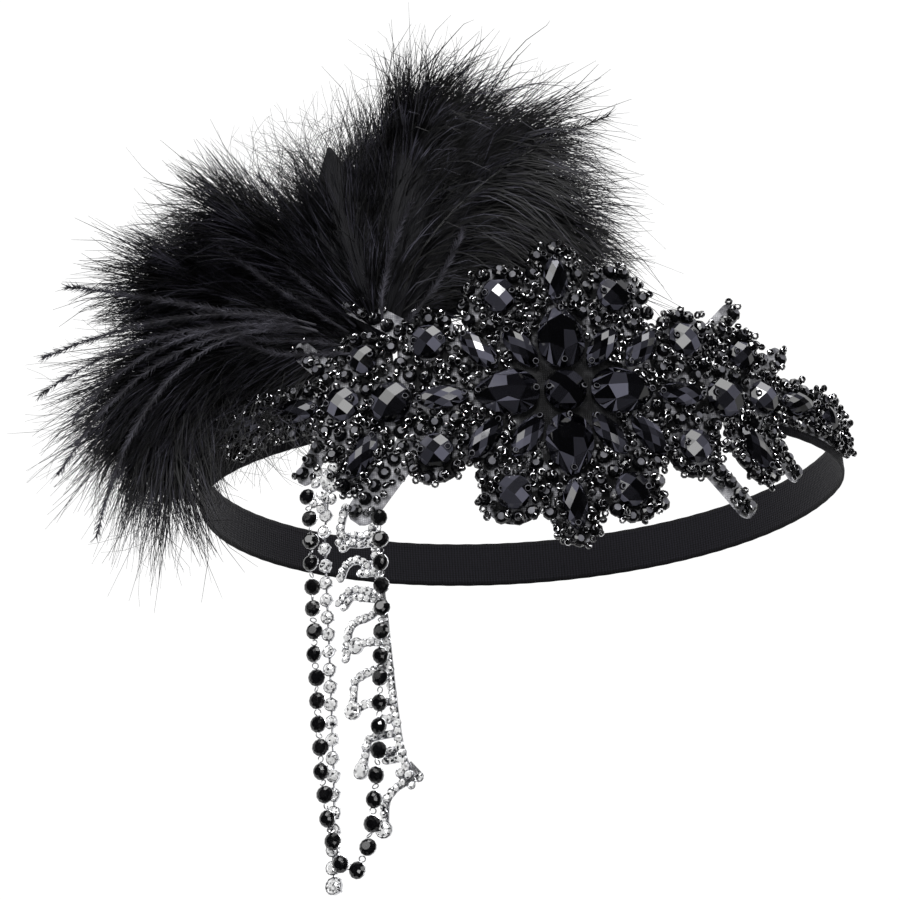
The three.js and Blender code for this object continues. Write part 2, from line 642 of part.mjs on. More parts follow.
function crystalScroll() {
  const back = crystalMiddle - SCROLL_DEPTH / 2;
  const stoneBack = crystalMiddle - CUP_DEPTH / 2;
  const strips = Object.values(SCROLL_STRIPS).map(({ wide, corners }) => {
    const line = corners.map(([aside, rise]) => new THREE.Vector2(aside, rise));
    const halfWidth = wide * SCROLL_WIDTH / 2;
    const left = line.map((corner, k) => {
      const way = line[Math.min(k + 1, line.length - 1)].clone().sub(line[Math.max(k - 1, 0)]).normalize();
      return corner.clone().add(new THREE.Vector2(-way.y, way.x).multiplyScalar(halfWidth));
    });
    const right = line.map((corner, k) => corner.clone().multiplyScalar(2).sub(left[k]));
    return flatPlate([...left, ...right.reverse()], SCROLL_DEPTH).translate(0, 0, back);
  });
  const stonesOn = SCROLL_STONES.map(
    ([aside, rise]) => cupStone(SCROLL_STONE, CUP_DEPTH, 10).translate(aside, rise, stoneBack));
  const mesh = part("crystal_scroll", join([...strips, ...stonesOn]), silverCrystal);
  mesh.applyMatrix4(dropBasis);
  return mesh;
}

// Plume. Each lock runs from the knot through a bend to its tip: headings in degrees, and lengths and
// places out of the plume's plane as shares of its reach.
const PLUME_SEAT = { across: -50, rise: 18 };
const PLUME_FACING = -40;
const LOCKS = [
  { bend: 158, bendReach: 0.92, tip: 221, reach: 0.86, bendOut: -0.3, tipOut: 0.05, wide: 0.9 },
  { bend: 160, bendReach: 0.75, tip: 204, reach: 0.95, bendOut: -0.24, tipOut: 0, wide: 1 },
  { bend: 158, bendReach: 0.6, tip: 190, reach: 0.98, bendOut: -0.26, tipOut: 0.1, wide: 1 },
  { bend: 152, bendReach: 0.5, tip: 176, reach: 0.94, bendOut: -0.28, tipOut: -0.05, wide: 1 },
  { bend: 143, bendReach: 0.45, tip: 160, reach: 0.86, bendOut: -0.28, tipOut: 0.12, wide: 1 },
  { bend: 133, bendReach: 0.45, tip: 145, reach: 0.84, bendOut: -0.27, tipOut: -0.1, wide: 1 },
  { bend: 123, bendReach: 0.45, tip: 130, reach: 0.82, bendOut: -0.24, tipOut: 0.1, wide: 1 },
  { bend: 112, bendReach: 0.45, tip: 115, reach: 0.83, bendOut: -0.18, tipOut: -0.08, wide: 0.9 },
  { bend: 103, bendReach: 0.45, tip: 102, reach: 0.82, bendOut: 0, tipOut: 0.1, wide: 0.9 },
  { bend: 95, bendReach: 0.5, tip: 88, reach: 0.93, bendOut: -0.06, tipOut: -0.06, wide: 1 },
  { bend: 89, bendReach: 0.5, tip: 75, reach: 0.99, bendOut: 0, tipOut: 0.08, wide: 1 },
  { bend: 84, bendReach: 0.55, tip: 61, reach: 0.98, bendOut: -0.1, tipOut: -0.08, wide: 1 },
  { bend: 77, bendReach: 0.6, tip: 47, reach: 0.92, bendOut: -0.1, tipOut: 0, wide: 1 },
  { bend: 72, bendReach: 0.6, tip: 31, reach: 0.82, bendOut: -0.18, tipOut: -0.15, wide: 0.9 },
  { bend: 65, bendReach: 0.55, tip: 17, reach: 0.77, bendOut: -0.25, tipOut: -0.25, wide: 0.8 },
];
const LOCK_SECTIONS = [
  { way: 0, wide: 0.15, deep: 0.25 },
  { way: 0.22, wide: 0.5, deep: 0.4 },
  { way: 0.5, wide: 1, deep: 1 },
  { way: 0.85, wide: 0.9, deep: 0.8 },
  { way: 1, wide: 0.35, deep: 0.3 },
];

function lock({ bend, bendReach, tip, reach, bendOut, tipOut, wide }) {
  const place = (length, heading, out) => {
    const flat = polar(length * PLUME_REACH, heading);
    return new THREE.Vector3(flat.x, flat.y, out * PLUME_REACH);
  };
  const rachis = new THREE.QuadraticBezierCurve3(
    new THREE.Vector3(), place(bendReach, bend, bendOut), place(reach, tip, tipOut));
  return loft(LOCK_SECTIONS.map((section) => {
    const middle = rachis.getPoint(section.way);
    const way = rachis.getTangent(section.way);
    const aside = new THREE.Vector3(-way.y, way.x, 0).normalize();
    const deep = way.clone().cross(aside);
    return Array.from({ length: 6 }, (_, k) => middle.clone()
      .addScaledVector(aside, Math.cos(Math.PI * k / 3) * LOCK_WIDTH * wide * section.wide / 2)
      .addScaledVector(deep, Math.sin(Math.PI * k / 3) * LOCK_DEPTH * section.deep / 2));
  }));
}

function plume() {
  const knot = new THREE.SphereGeometry(0.5, 10, 6).scale(KNOT_WIDTH, KNOT_WIDTH, KNOT_DEPTH);
  const mesh = part("plume", join([knot, ...LOCKS.map(lock)]), blackFeather);
  const facing = bandFrame(PLUME_FACING);
  const knotMiddle = backingBack - SEAT_GAP - KNOT_DEPTH / 2;
  const seat = onBand(PLUME_SEAT.across, PLUME_SEAT.rise - BACKING_DROP, knotMiddle);
  mesh.applyMatrix4(new THREE.Matrix4().makeBasis(facing.along, facing.up, facing.out).setPosition(seat));
  return mesh;
}

const headband = new THREE.Group();
headband.add(elasticLoop(), appliqueBacking(), mainStones(), plume());
headband.add(jetChain(), crystalChain(), crystalScroll());

export default headband;
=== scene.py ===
"""Looks of a flapper feather headband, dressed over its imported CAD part.

Sizes in this file are millimetres and become metres as a mesh is made. The band lies level in XY,
the appliqué faces -Y, +X is the viewer's right and +Z is up.
"""

import math

import bmesh
import bpy
import numpy as np
from mathutils import Matrix


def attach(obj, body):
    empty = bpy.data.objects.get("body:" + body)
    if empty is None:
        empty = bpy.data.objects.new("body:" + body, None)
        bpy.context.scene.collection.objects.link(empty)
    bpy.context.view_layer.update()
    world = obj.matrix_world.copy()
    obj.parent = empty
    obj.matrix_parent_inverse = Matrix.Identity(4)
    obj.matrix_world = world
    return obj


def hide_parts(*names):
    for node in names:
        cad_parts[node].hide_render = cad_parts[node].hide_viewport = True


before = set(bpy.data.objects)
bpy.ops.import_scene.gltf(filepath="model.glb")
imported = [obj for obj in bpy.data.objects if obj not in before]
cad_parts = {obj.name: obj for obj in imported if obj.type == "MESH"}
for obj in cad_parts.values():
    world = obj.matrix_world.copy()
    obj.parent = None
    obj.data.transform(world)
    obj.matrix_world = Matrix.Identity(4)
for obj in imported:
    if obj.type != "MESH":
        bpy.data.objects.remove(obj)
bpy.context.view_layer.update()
rng = np.random.default_rng(1926)
MM = 0.001

# Sizes shared with the CAD part
HEAD_HALF_WIDTH = 99.0
FRONT_DEPTH = 70.0
BACK_DEPTH = 92.0
ELASTIC_WIDTH = 15.0
ELASTIC_THICKNESS = 1.2
BACKING_DROP = 1.5
BACKING_BACK = 0.9
BACKING_FRONT = 2.1
STONE_SEAT = 2.4
GIRDLE_HEIGHT = 1.2
STONE_HEIGHT_SHARE = 0.36
TAIL_WIDTH = 15.0
LEFT_TAIL_OVERHANG = 13.0
RIGHT_TAIL_OVERHANG = 23.0
FROND_WIDTH = 6.0
JET_DEPTH = 2.8
CUP_DEPTH = 1.8

# Sizes of what is only seen here
CHATON_DIAMETER = 4.3
CHATON_HEIGHT = 2.1
CHATON_OVERHANG = 1.3
SEED_BEAD_DIAMETER = 2.4
ORGANZA_THICKNESS = 0.4
RIB_PITCH = 1.0
YARN_PITCH = 0.8
THREAD_PITCH = 0.6
CHATON_TRIES = 6000
BEAD_TRIES = 30000
BARBS_PER_FEATHER = 650
CRYSTAL_REFLECTION_CELL = 0.55
RIM_WIDTH = CHATON_DIAMETER + 0.95


# The band's surface

front_angle = np.linspace(-np.pi / 2, 0, 4001)
front_xy = np.stack([HEAD_HALF_WIDTH * np.cos(front_angle), FRONT_DEPTH * np.sin(front_angle)], -1)
front_arc = np.concatenate([[0], np.cumsum(np.linalg.norm(np.diff(front_xy, axis=0), axis=1))])


def band_axes(across):
    """Unit vectors along, up and out of the band: out is the ellipse's normal, along is out turned a
    quarter turn about Z."""
    across = np.asarray(across, float)
    angle = np.interp(np.abs(across), front_arc, front_angle)
    out = np.stack([np.where(across < 0, -1, 1) * np.cos(angle) / HEAD_HALF_WIDTH,
                    np.sin(angle) / FRONT_DEPTH, np.zeros_like(angle)], -1)
    out /= np.linalg.norm(out, axis=-1, keepdims=True)
    along = np.stack([-out[..., 1], out[..., 0], np.zeros_like(angle)], -1)
    up = np.zeros_like(out)
    up[..., 2] = 1
    return np.stack([along, up, out], -2)


def on_band(across, rise, out=0.0):
    """Points at an arc length from the band's front, a height, and a distance out of its middle surface."""
    across, rise, out = np.broadcast_arrays(np.asarray(across, float), rise, out)
    angle = np.interp(np.abs(across), front_arc, front_angle)
    point = np.stack([np.where(across < 0, -1, 1) * HEAD_HALF_WIDTH * np.cos(angle),
                      FRONT_DEPTH * np.sin(angle), rise], -1)
    return point + band_axes(across)[..., 2, :] * out[..., None]


# Meshes

def make_mesh(name, points, face_sets, slots=None, uv=None, smooth=False):
    """One object from points (n, 3) and arrays of faces with the same number of corners each."""
    mesh = bpy.data.meshes.new(name)
    mesh.vertices.add(len(points))
    mesh.vertices.foreach_set("co", (np.asarray(points) * MM).ravel())
    corners = np.concatenate([faces.ravel() for faces in face_sets])
    sizes = np.concatenate([np.full(len(faces), faces.shape[1]) for faces in face_sets])
    mesh.loops.add(len(corners))
    mesh.loops.foreach_set("vertex_index", corners.astype(np.int32))
    mesh.polygons.add(len(sizes))
    mesh.polygons.foreach_set("loop_start", (np.cumsum(sizes) - sizes).astype(np.int32))
    if slots is not None:
        mesh.polygons.foreach_set("material_index", np.asarray(slots, np.int32))
    mesh.polygons.foreach_set("use_smooth", np.full(len(sizes), smooth))
    if uv is not None:
        layer = mesh.uv_layers.new(name="surface")
        layer.data.foreach_set("uv", uv[corners].astype(np.float32).ravel())
    mesh.update()
    mesh.validate()
    piece = bpy.data.objects.new(name, mesh)
    bpy.context.scene.collection.objects.link(piece)
    return piece


def grid_faces(rows, columns, wrap_rows=False, wrap_columns=True):
    """Quads of a grid of points, row after row, with either direction closed into a ring."""
    row = np.arange(rows if wrap_rows else rows - 1)[:, None]
    column = np.arange(columns if wrap_columns else columns - 1)[None, :]
    next_row = (row + 1) % rows
    next_column = (column + 1) % columns
    quads = np.stack([row * columns + column, row * columns + next_column,
                      next_row * columns + next_column, next_row * columns + column], -1)
    return quads.reshape(-1, 4)


def dress(piece, materials, replaces=()):
    """Gives a finished piece its materials, its slot in the record and the CAD nodes it stands for."""
    for material in materials:
        piece.data.materials.append(material)
    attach(piece, "root")
    if replaces:
        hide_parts(*replaces)
    return piece


def copies(name, shape, origins, axes, sizes=1.0):
    """One mesh of many equal shapes: each copy's points are its origin plus the shape's points times
    its size along its three axes. A shape is (points, face sets, material slots per face)."""
    points, face_sets, slots = shape
    count = len(origins)
    sizes = np.broadcast_to(np.asarray(sizes, float).reshape(-1, 1, 1), (count, 1, 1))
    placed = origins[:, None, :] + np.einsum("vk,nkc->nvc", points, axes) * sizes
    shift = (np.arange(count) * len(points))[:, None, None]
    all_sets = [(faces[None] + shift).reshape(-1, faces.shape[1]) for faces in face_sets]
    starts = np.cumsum([0] + [len(faces) for faces in face_sets])
    all_slots = np.concatenate([np.tile(slots[a:b], count) for a, b in zip(starts, starts[1:])])
    return make_mesh(name, placed.reshape(-1, 3), all_sets, all_slots)


def turned_shape(profile, sides, slots, closed=False):
    """A profile of (radius, height) pairs turned about Z. Open profiles are closed by flat ends."""
    angle = 2 * np.pi * np.arange(sides) / sides
    profile = np.asarray(profile, float)
    rows = len(profile)
    points = np.stack([profile[:, :1] * np.cos(angle), profile[:, :1] * np.sin(angle),
                       np.repeat(profile[:, 1:], sides, 1)], -1).reshape(-1, 3)
    quads = grid_faces(rows, sides, wrap_rows=closed)
    quad_slots = np.repeat(slots[:rows if closed else rows - 1], sides)
    if closed:
        return points, [quads], quad_slots
    ends = np.stack([np.arange(sides)[::-1], (rows - 1) * sides + np.arange(sides)])
    return points, [quads, ends], np.concatenate([quad_slots, [slots[0], slots[-1]]])


def random_axes(base, tilt_degrees):
    """Turns each set of axes by a random spin about its third axis, then tips that axis by up to a tilt."""
    count = len(base)
    spin = rng.uniform(0, 2 * np.pi, count)
    lean = np.radians(tilt_degrees) * np.sqrt(rng.uniform(0, 1, count))
    heading = rng.uniform(0, 2 * np.pi, count)
    local_out = np.stack([np.sin(lean) * np.cos(heading), np.sin(lean) * np.sin(heading), np.cos(lean)], -1)
    across = np.stack([np.cos(spin), np.sin(spin), np.zeros(count)], -1)
    across -= local_out * np.sum(across * local_out, -1, keepdims=True)
    across /= np.linalg.norm(across, axis=-1, keepdims=True)
    local = np.stack([across, np.cross(local_out, across), local_out], -2)
    return np.einsum("nij,njk->nik", local, base)


def tubes(paths, radii, sides):
    """Tapering tubes along many paths: at each station a ring of points round the path, across the
    path's direction, closed at both ends by one face."""
    count, stations = paths.shape[:2]
    way = np.gradient(paths, axis=1)
    way /= np.linalg.norm(way, axis=-1, keepdims=True) + 1e-9
    aside = np.cross(way, np.array([0.13, -0.96, 0.24]))
    aside /= np.linalg.norm(aside, axis=-1, keepdims=True) + 1e-9
    other = np.cross(way, aside)
    angle = 2 * np.pi * np.arange(sides) / sides
    ring = np.cos(angle)[:, None] * aside[:, :, None] + np.sin(angle)[:, None] * other[:, :, None]
    points = paths[:, :, None] + ring * radii[:, :, None, None]
    one = grid_faces(stations, sides)
    shift = (np.arange(count) * stations * sides)[:, None, None]
    ends = np.stack([np.arange(sides)[::-1], (stations - 1) * sides + np.arange(sides)])
    faces = [(one[None] + shift).reshape(-1, 4), (ends[None] + shift).reshape(-1, sides)]
    return points.reshape(-1, 3), faces


# Materials

def colour(hex_value):
    """An sRGB hex colour as linear RGBA."""
    parts = np.array([int(hex_value[k:k + 2], 16) for k in (1, 3, 5)]) / 255
    linear = np.where(parts <= 0.04045, parts / 12.92, ((parts + 0.055) / 1.055) ** 2.4)
    return (*linear.tolist(), 1.0)


def wave_scale(pitch_mm):
    """The Wave texture's scale for bands a real distance apart: one band is pi / 10 units wide."""
    return math.pi / 10 / (pitch_mm * MM)


def add_node(tree, kind, settings=None, values=None, links=None):
    """Adds a node with its settings, its socket values and its links from other nodes' sockets."""
    node = tree.nodes.new(kind)
    for key, value in (settings or {}).items():
        setattr(node, key, value)
    for key, value in (values or {}).items():
        node.inputs[key].default_value = value
    for key, source in (links or {}).items():
        tree.links.new(source, node.inputs[key])
    return node


def new_material(name, values):
    """A named material whose one Principled shader has these constant values."""
    material = bpy.data.materials.new(name)
    material.use_nodes = True
    shader = material.node_tree.nodes["Principled BSDF"]
    for key, value in values.items():
        shader.inputs[key].default_value = value
    return material, material.node_tree, shader


def two_tones(tree, shader, factor, dark, light):
    """The base colour runs between two sRGB tones by a factor."""
    tones = add_node(tree, "ShaderNodeMix", {"data_type": "RGBA"}, {6: colour(dark), 7: colour(light)},
                     {0: factor})
    tree.links.new(tones.outputs[2], shader.inputs["Base Color"])


def surface_bump(tree, shader, height, depth_mm):
    """A bump of a real depth."""
    bump = add_node(tree, "ShaderNodeBump", values={"Distance": depth_mm * MM}, links={"Height": height})
    tree.links.new(bump.outputs["Normal"], shader.inputs["Normal"])


def mottle(tree, shader, size_mm, rough_low, rough_high):
    """Noise with grains of a real size, which moves the roughness between two values."""
    place = add_node(tree, "ShaderNodeTexCoord")
    noise = add_node(tree, "ShaderNodeTexNoise", values={"Scale": 1 / (size_mm * MM), "Detail": 3.0},
                     links={"Vector": place.outputs["Object"]})
    rough = add_node(tree, "ShaderNodeMapRange", values={"To Min": rough_low, "To Max": rough_high},
                     links={"Value": noise.outputs["Fac"]})
    tree.links.new(rough.outputs["Result"], shader.inputs["Roughness"])
    return noise.outputs["Fac"]


def polished_acrylic():
    """Black acrylic stones, moulded and polished: flat mirror-like facets. Some facets carry a painted grey
    reflection, so each facet has a painted tone of its own."""
    material, tree, shader = new_material("polished_black_acrylic", {"IOR": 1.49})
    mottle(tree, shader, 5.0, 0.03, 0.1)
    tone = add_node(tree, "ShaderNodeAttribute", {"attribute_name": "facet_painted_reflection"})
    curve = add_node(tree, "ShaderNodeMath", {"operation": "POWER"}, {1: 4.0}, {0: tone.outputs["Fac"]})
    # Painted reflection: a facet turns grey by a tone keyed to the direction it faces.
    two_tones(tree, shader, curve.outputs[0], "#010102", "#5a5a66")
    return material


def jet_glass():
    """Pressed black glass of chatons and beads: softer edges and slightly uneven polish."""
    material, tree, shader = new_material("pressed_jet_glass", {"IOR": 1.55})
    grain = mottle(tree, shader, 2.0, 0.06, 0.22)
    two_tones(tree, shader, grain, "#020203", "#08080a")
    return material


def painted_table_reflection():
    """The flat ground table of a pressed black stone: a satin disc with a painted grey reflection, greyer on
    some stones.
    """
    material, tree, shader = new_material("ground_jet_table_painted_reflection", {"IOR": 1.55})
    grain = mottle(tree, shader, 3.0, 0.35, 0.6)
    # Painted reflection: the grey of the table stands in for the light that a black stone's flat table mirrors.
    two_tones(tree, shader, grain, "#060608", "#77777f")
    return material


def silver_lining():
    """Mirror silver round the hole of a seed bead, seen through the glass as a bright ring."""
    material, tree, shader = new_material("silver_bead_lining", {"Metallic": 1.0})
    grain = mottle(tree, shader, 0.8, 0.15, 0.3)
    two_tones(tree, shader, grain, "#b4b4b9", "#f6f6f8")
    return material


def plated_silver():
    """Stamped brass with bright silver plate: slightly worn, so the gloss is uneven."""
    material, tree, shader = new_material("plated_silver", {"Metallic": 1.0})
    grain = mottle(tree, shader, 1.0, 0.12, 0.35)
    two_tones(tree, shader, grain, "#96979c", "#f2f2f4")
    surface_bump(tree, shader, grain, 0.02)
    return material


def foiled_crystal():
    """Clear glass on a silver foil, with painted reflections: cells of white and of dark painted into the
    colour, standing in for each small facet showing another part of the room through the stone."""
    material, tree, shader = new_material("foiled_crystal", {"Metallic": 0.4, "Coat Weight": 0.5,
                                                             "Coat Roughness": 0.02})
    mottle(tree, shader, 0.9, 0.03, 0.12)
    place = add_node(tree, "ShaderNodeTexCoord")
    # Painted reflections: Voronoi cells of white and dark in the base colour.
    reflection_cells = add_node(tree, "ShaderNodeTexVoronoi", values={"Scale": 1 / (CRYSTAL_REFLECTION_CELL * MM)},
                     links={"Vector": place.outputs["Object"]})
    split = add_node(tree, "ShaderNodeSeparateColor", links={"Color": reflection_cells.outputs["Color"]})
    light = add_node(tree, "ShaderNodeMapRange", values={"From Min": 0.1, "From Max": 0.4},
                     links={"Value": split.outputs["Red"]})
    two_tones(tree, shader, light.outputs["Result"], "#2a2b30", "#ffffff")
    return material


def stiffened_organza(name, dark, light, highlight_from, highlight_to, alpha):
    """Woven organza: fine crossing threads, with painted highlight patches where the stiff cloth would catch
    the light, and a painted shade that darkens it round the middle of the appliqué. One layer lets a little
    through, a lined one nothing. The real threads are 0.15 mm apart, and are drawn coarser so that they show."""
    material, tree, shader = new_material(name, {"Specular IOR Level": 0.2, "Roughness": 0.6, "Alpha": alpha})
    place = add_node(tree, "ShaderNodeUVMap", {"uv_map": "surface"})
    warp, weft = (add_node(tree, "ShaderNodeTexWave", {"bands_direction": direction},
                           {"Scale": wave_scale(THREAD_PITCH), "Distortion": 0.6},
                           {"Vector": place.outputs["UV"]}) for direction in ("X", "Y"))
    weave = add_node(tree, "ShaderNodeMath", {"operation": "MULTIPLY"},
                     links={0: warp.outputs["Fac"], 1: weft.outputs["Fac"]})
    cloud = add_node(tree, "ShaderNodeTexNoise", values={"Scale": 1 / (3.5 * MM), "Detail": 2.0},
                     links={"Vector": place.outputs["UV"]})
    # Painted highlight: noise patches make the cloth pale where it would catch the light.
    painted_highlight_patch = add_node(tree, "ShaderNodeMapRange", values={"From Min": highlight_from, "From Max": highlight_to},
                     links={"Value": cloud.outputs["Fac"]})
    thread = add_node(tree, "ShaderNodeMapRange", values={"To Min": 0.55, "To Max": 1.2},
                      links={"Value": weave.outputs[0]})
    # Painted shade: within 15 mm of the middle of the appliqué the colour falls to 0.05 of itself, rising to
    # full by 20 mm, round the centre stone.
    away = add_node(tree, "ShaderNodeVectorMath", {"operation": "LENGTH"}, links={0: place.outputs["UV"]})
    middle = add_node(tree, "ShaderNodeMapRange", values={"From Min": 15 * MM, "From Max": 20 * MM,
                                                          "To Min": 0.05},
                      links={"Value": away.outputs["Value"]})
    lit = add_node(tree, "ShaderNodeMath", {"operation": "MULTIPLY"},
                   links={0: painted_highlight_patch.outputs["Result"], 1: thread.outputs["Result"]})
    shade = add_node(tree, "ShaderNodeMath", {"operation": "MULTIPLY"},
                     links={0: lit.outputs[0], 1: middle.outputs["Result"]})
    two_tones(tree, shader, shade.outputs[0], dark, light)
    surface_bump(tree, shader, weave.outputs[0], 0.1)
    return material


def ribbed_elastic():
    """Woven black elastic: rubber cores make fine ribs across the strap and the yarn crosses them. The
    yarn gives a matte nap with a faint blue cast, and a finer, smoother hem along both edges."""
    material, tree, shader = new_material("ribbed_black_elastic", {"Sheen Weight": 0.05, "Roughness": 0.8,
                                                                   "Specular IOR Level": 0.15})
    place = add_node(tree, "ShaderNodeUVMap", {"uv_map": "surface"})
    ribs = add_node(tree, "ShaderNodeTexWave", {"bands_direction": "X"},
                    {"Scale": wave_scale(RIB_PITCH), "Distortion": 0.5}, {"Vector": place.outputs["UV"]})
    yarn = add_node(tree, "ShaderNodeTexWave", {"bands_direction": "Y"},
                    {"Scale": wave_scale(YARN_PITCH), "Distortion": 0.8}, {"Vector": place.outputs["UV"]})
    weave = add_node(tree, "ShaderNodeMath", {"operation": "MULTIPLY_ADD"}, {1: 0.5},
                     {0: yarn.outputs["Fac"], 2: ribs.outputs["Fac"]})
    across = add_node(tree, "ShaderNodeSeparateXYZ", links={0: place.outputs["UV"]})
    rise = add_node(tree, "ShaderNodeMath", {"operation": "ABSOLUTE"}, links={0: across.outputs["Y"]})
    hem = add_node(tree, "ShaderNodeMapRange", values={"From Min": 6.3 * MM, "From Max": 6.8 * MM,
                                                       "To Min": 0.6, "To Max": 0.25},
                   links={"Value": rise.outputs[0]})
    height = add_node(tree, "ShaderNodeMath", {"operation": "MULTIPLY"},
                      links={0: weave.outputs[0], 1: hem.outputs["Result"]})
    two_tones(tree, shader, height.outputs[0], "#030304", "#1f1e26")
    surface_bump(tree, shader, height.outputs[0], 0.15)
    return material


def feather(name, dark, light, roughness, power):
    """Dyed feather with painted light: each barb is a fine smooth hair with a tone of its own and the tufts
    vary slowly, which paints some hairs and tufts pale as if lit and others dark as if shaded; a power sets how
    few of the hairs are painted pale."""
    material, tree, shader = new_material(name, {"Specular IOR Level": 0.25})
    grain = mottle(tree, shader, 7.0, roughness, roughness + 0.2)
    # Painted light: slow noise makes whole tufts pale as if lit or dark as if shaded.
    painted_lit_tufts = add_node(tree, "ShaderNodeMapRange", values={"From Min": 0.35, "From Max": 0.7},
                    links={"Value": grain})
    # Painted highlight: a random share for each hair, raised to a power, makes a few hairs pale.
    tone = add_node(tree, "ShaderNodeAttribute", {"attribute_name": "hair_painted_highlight"})
    painted_pale_hairs = add_node(tree, "ShaderNodeMath", {"operation": "POWER"}, {1: power}, {0: tone.outputs["Fac"]})
    shade = add_node(tree, "ShaderNodeMath", {"operation": "MULTIPLY"},
                     links={0: painted_lit_tufts.outputs["Result"], 1: painted_pale_hairs.outputs[0]})
    two_tones(tree, shader, shade.outputs[0], dark, light)
    return material


def packed_barbs():
    """The dense middle of a feather, where barbs lie side by side: fine streaks along it, as long as a
    barb and as wide as one."""
    material, tree, shader = new_material("packed_feather_barbs", {"Specular IOR Level": 0.15,
                                                                   "Roughness": 0.6})
    place = add_node(tree, "ShaderNodeUVMap", {"uv_map": "surface"})
    drawn = add_node(tree, "ShaderNodeVectorMath", {"operation": "MULTIPLY"},
                     {1: (1 / (14 * MM), 1 / (0.5 * MM), 1)}, {0: place.outputs["UV"]})
    streak = add_node(tree, "ShaderNodeTexNoise", values={"Scale": 1.0, "Detail": 3.0},
                      links={"Vector": drawn.outputs[0]})
    two_tones(tree, shader, streak.outputs["Fac"], "#010102", "#17171c")
    surface_bump(tree, shader, streak.outputs["Fac"], 0.5)
    return material


acrylic = polished_acrylic()
jet = jet_glass()
table_painted_reflection = painted_table_reflection()
lining = silver_lining()
silver = plated_silver()
crystal = foiled_crystal()
organza = stiffened_organza("lined_organza", "#08080a", "#b4b4ba", 0.48, 0.66, 1.0)
frond_organza = stiffened_organza("single_organza", "#55555b", "#d2d2d6", 0.35, 0.65, 0.9)
elastic = ribbed_elastic()
barb_black = feather("dyed_feather_barbs_painted_sheen", "#020203", "#51505d", 0.34, 3.5)
barb_core = packed_barbs()
down_grey = feather("grey_feather_down_painted_sheen", "#1a191e", "#55545e", 0.6, 1.0)
shaft_grey = feather("feather_shaft", "#19181d", "#4a4952", 0.45, 0.5)


# Elastic loop

def elastic_loop():
    """The strap's section, a flat oval with a hem bead at each edge, is carried round the head: half an
    ellipse in front by arc length and half an ellipse behind by angle."""
    front = np.linspace(-front_arc[-1], front_arc[-1], 241)[:-1]
    back = np.linspace(0, np.pi, 261)[:-1]
    middle = np.concatenate([on_band(front, 0.0)[:, :2],
                             np.stack([HEAD_HALF_WIDTH * np.cos(back), BACK_DEPTH * np.sin(back)], -1)])
    way = np.roll(middle, -1, 0) - np.roll(middle, 1, 0)
    way /= np.linalg.norm(way, axis=1, keepdims=True)
    out = np.stack([way[:, 1], -way[:, 0]], -1)
    turn = 2 * np.pi * (np.arange(36) + 0.5) / 36
    rise = ELASTIC_WIDTH / 2 * np.sign(np.sin(turn)) * np.abs(np.sin(turn)) ** 0.5
    hem = 0.12 * np.exp(-((np.abs(rise) - 6.4) / 0.5) ** 2)
    thick = (ELASTIC_THICKNESS / 2 - 0.1) * np.sign(np.cos(turn)) * np.abs(np.cos(turn)) ** 0.3
    depth = thick + np.sign(thick) * hem
    xy = middle[:, None, :] + out[:, None, :] * depth[None, :, None]
    length = np.concatenate([[0], np.cumsum(np.linalg.norm(np.diff(middle, axis=0), axis=1))])
    ripple = 0.05 * np.sin(length / 1.1)
    points = np.concatenate([xy, np.broadcast_to(rise[None, :, None], (*xy.shape[:2], 1))], -1)
    points[..., 2] += ripple[:, None] * np.sin(turn)
    uv = np.stack(np.broadcast_arrays(length[:, None], rise[None, :]), -1).reshape(-1, 2) * MM
    quads = grid_faces(len(middle), 36, wrap_rows=True)[:, ::-1]
    piece = make_mesh("elastic_strap", points.reshape(-1, 3), [quads], uv=uv, smooth=True)
    dress(piece, [elastic], ["elastic_band"])
    return piece


# Sew-on stones

CUTS = {
    "centre": (12.0, 12.0, "round", 0.4), "large": (12.0, 12.0, "round", 0.4),
    "medium": (10.0, 10.0, "round", 0.4), "small": (8.5, 8.5, "round", 0.4),
    "pear": (18.5, 13.6, "pear", 0), "navette": (15.0, 7.0, "navette", 0.3),
    "end": (11.0, 6.0, "navette", 0.3),
}
STONE_TURNS = {
    "centre": ("centre", 0), "pear_side": ("pear", 0), "pear_top": ("pear", 90),
    "pear_bottom": ("pear", -90), "inner_top": ("navette", 53), "inner_bottom": ("navette", -53),
    "tip_top": ("navette", 90), "tip_bottom": ("navette", -90), "spine_inner": ("navette", 0),
    "lobe_top": ("medium", 0), "lobe_bottom": ("medium", 0), "outer_top": ("navette", 50),
    "outer_bottom": ("navette", -50), "shoulder_top": ("medium", 0), "shoulder_bottom": ("medium", 0),
    "spine_large": ("large", 0), "wing_top": ("small", 0), "wing_bottom": ("navette", -55),
    "spine_medium": ("medium", 0), "spine_outer": ("navette", 5), "spine_end": ("end", -30),
}
RINGED = ("lobe", "tip", "shoulder", "wing", "spine_medium", "spine_outer", "spine_end")


def outline_point(cut, angle, grow=0.0):
    """A point of a stone's outline: a circle, a circle whose width is multiplied by the root of the
    sine for a navette, or by a power of the half versine for a pear."""
    length, width, form, _ = CUTS[cut]
    y = np.sin(angle)
    if form == "navette":
        y = y * np.abs(np.sin(angle)) ** 0.5
    if form == "pear":
        y = y * ((1 - np.cos(angle)) / 2) ** 0.15 / 0.91
    return np.stack([np.cos(angle) * (length / 2 + grow), y * (width / 2 + grow)], -1)


def turn_flat(points, degrees):
    """Flat points turned about the origin."""
    c, s = math.cos(math.radians(degrees)), math.sin(math.radians(degrees))
    return np.asarray(points) @ np.array([[c, s], [-s, c]])


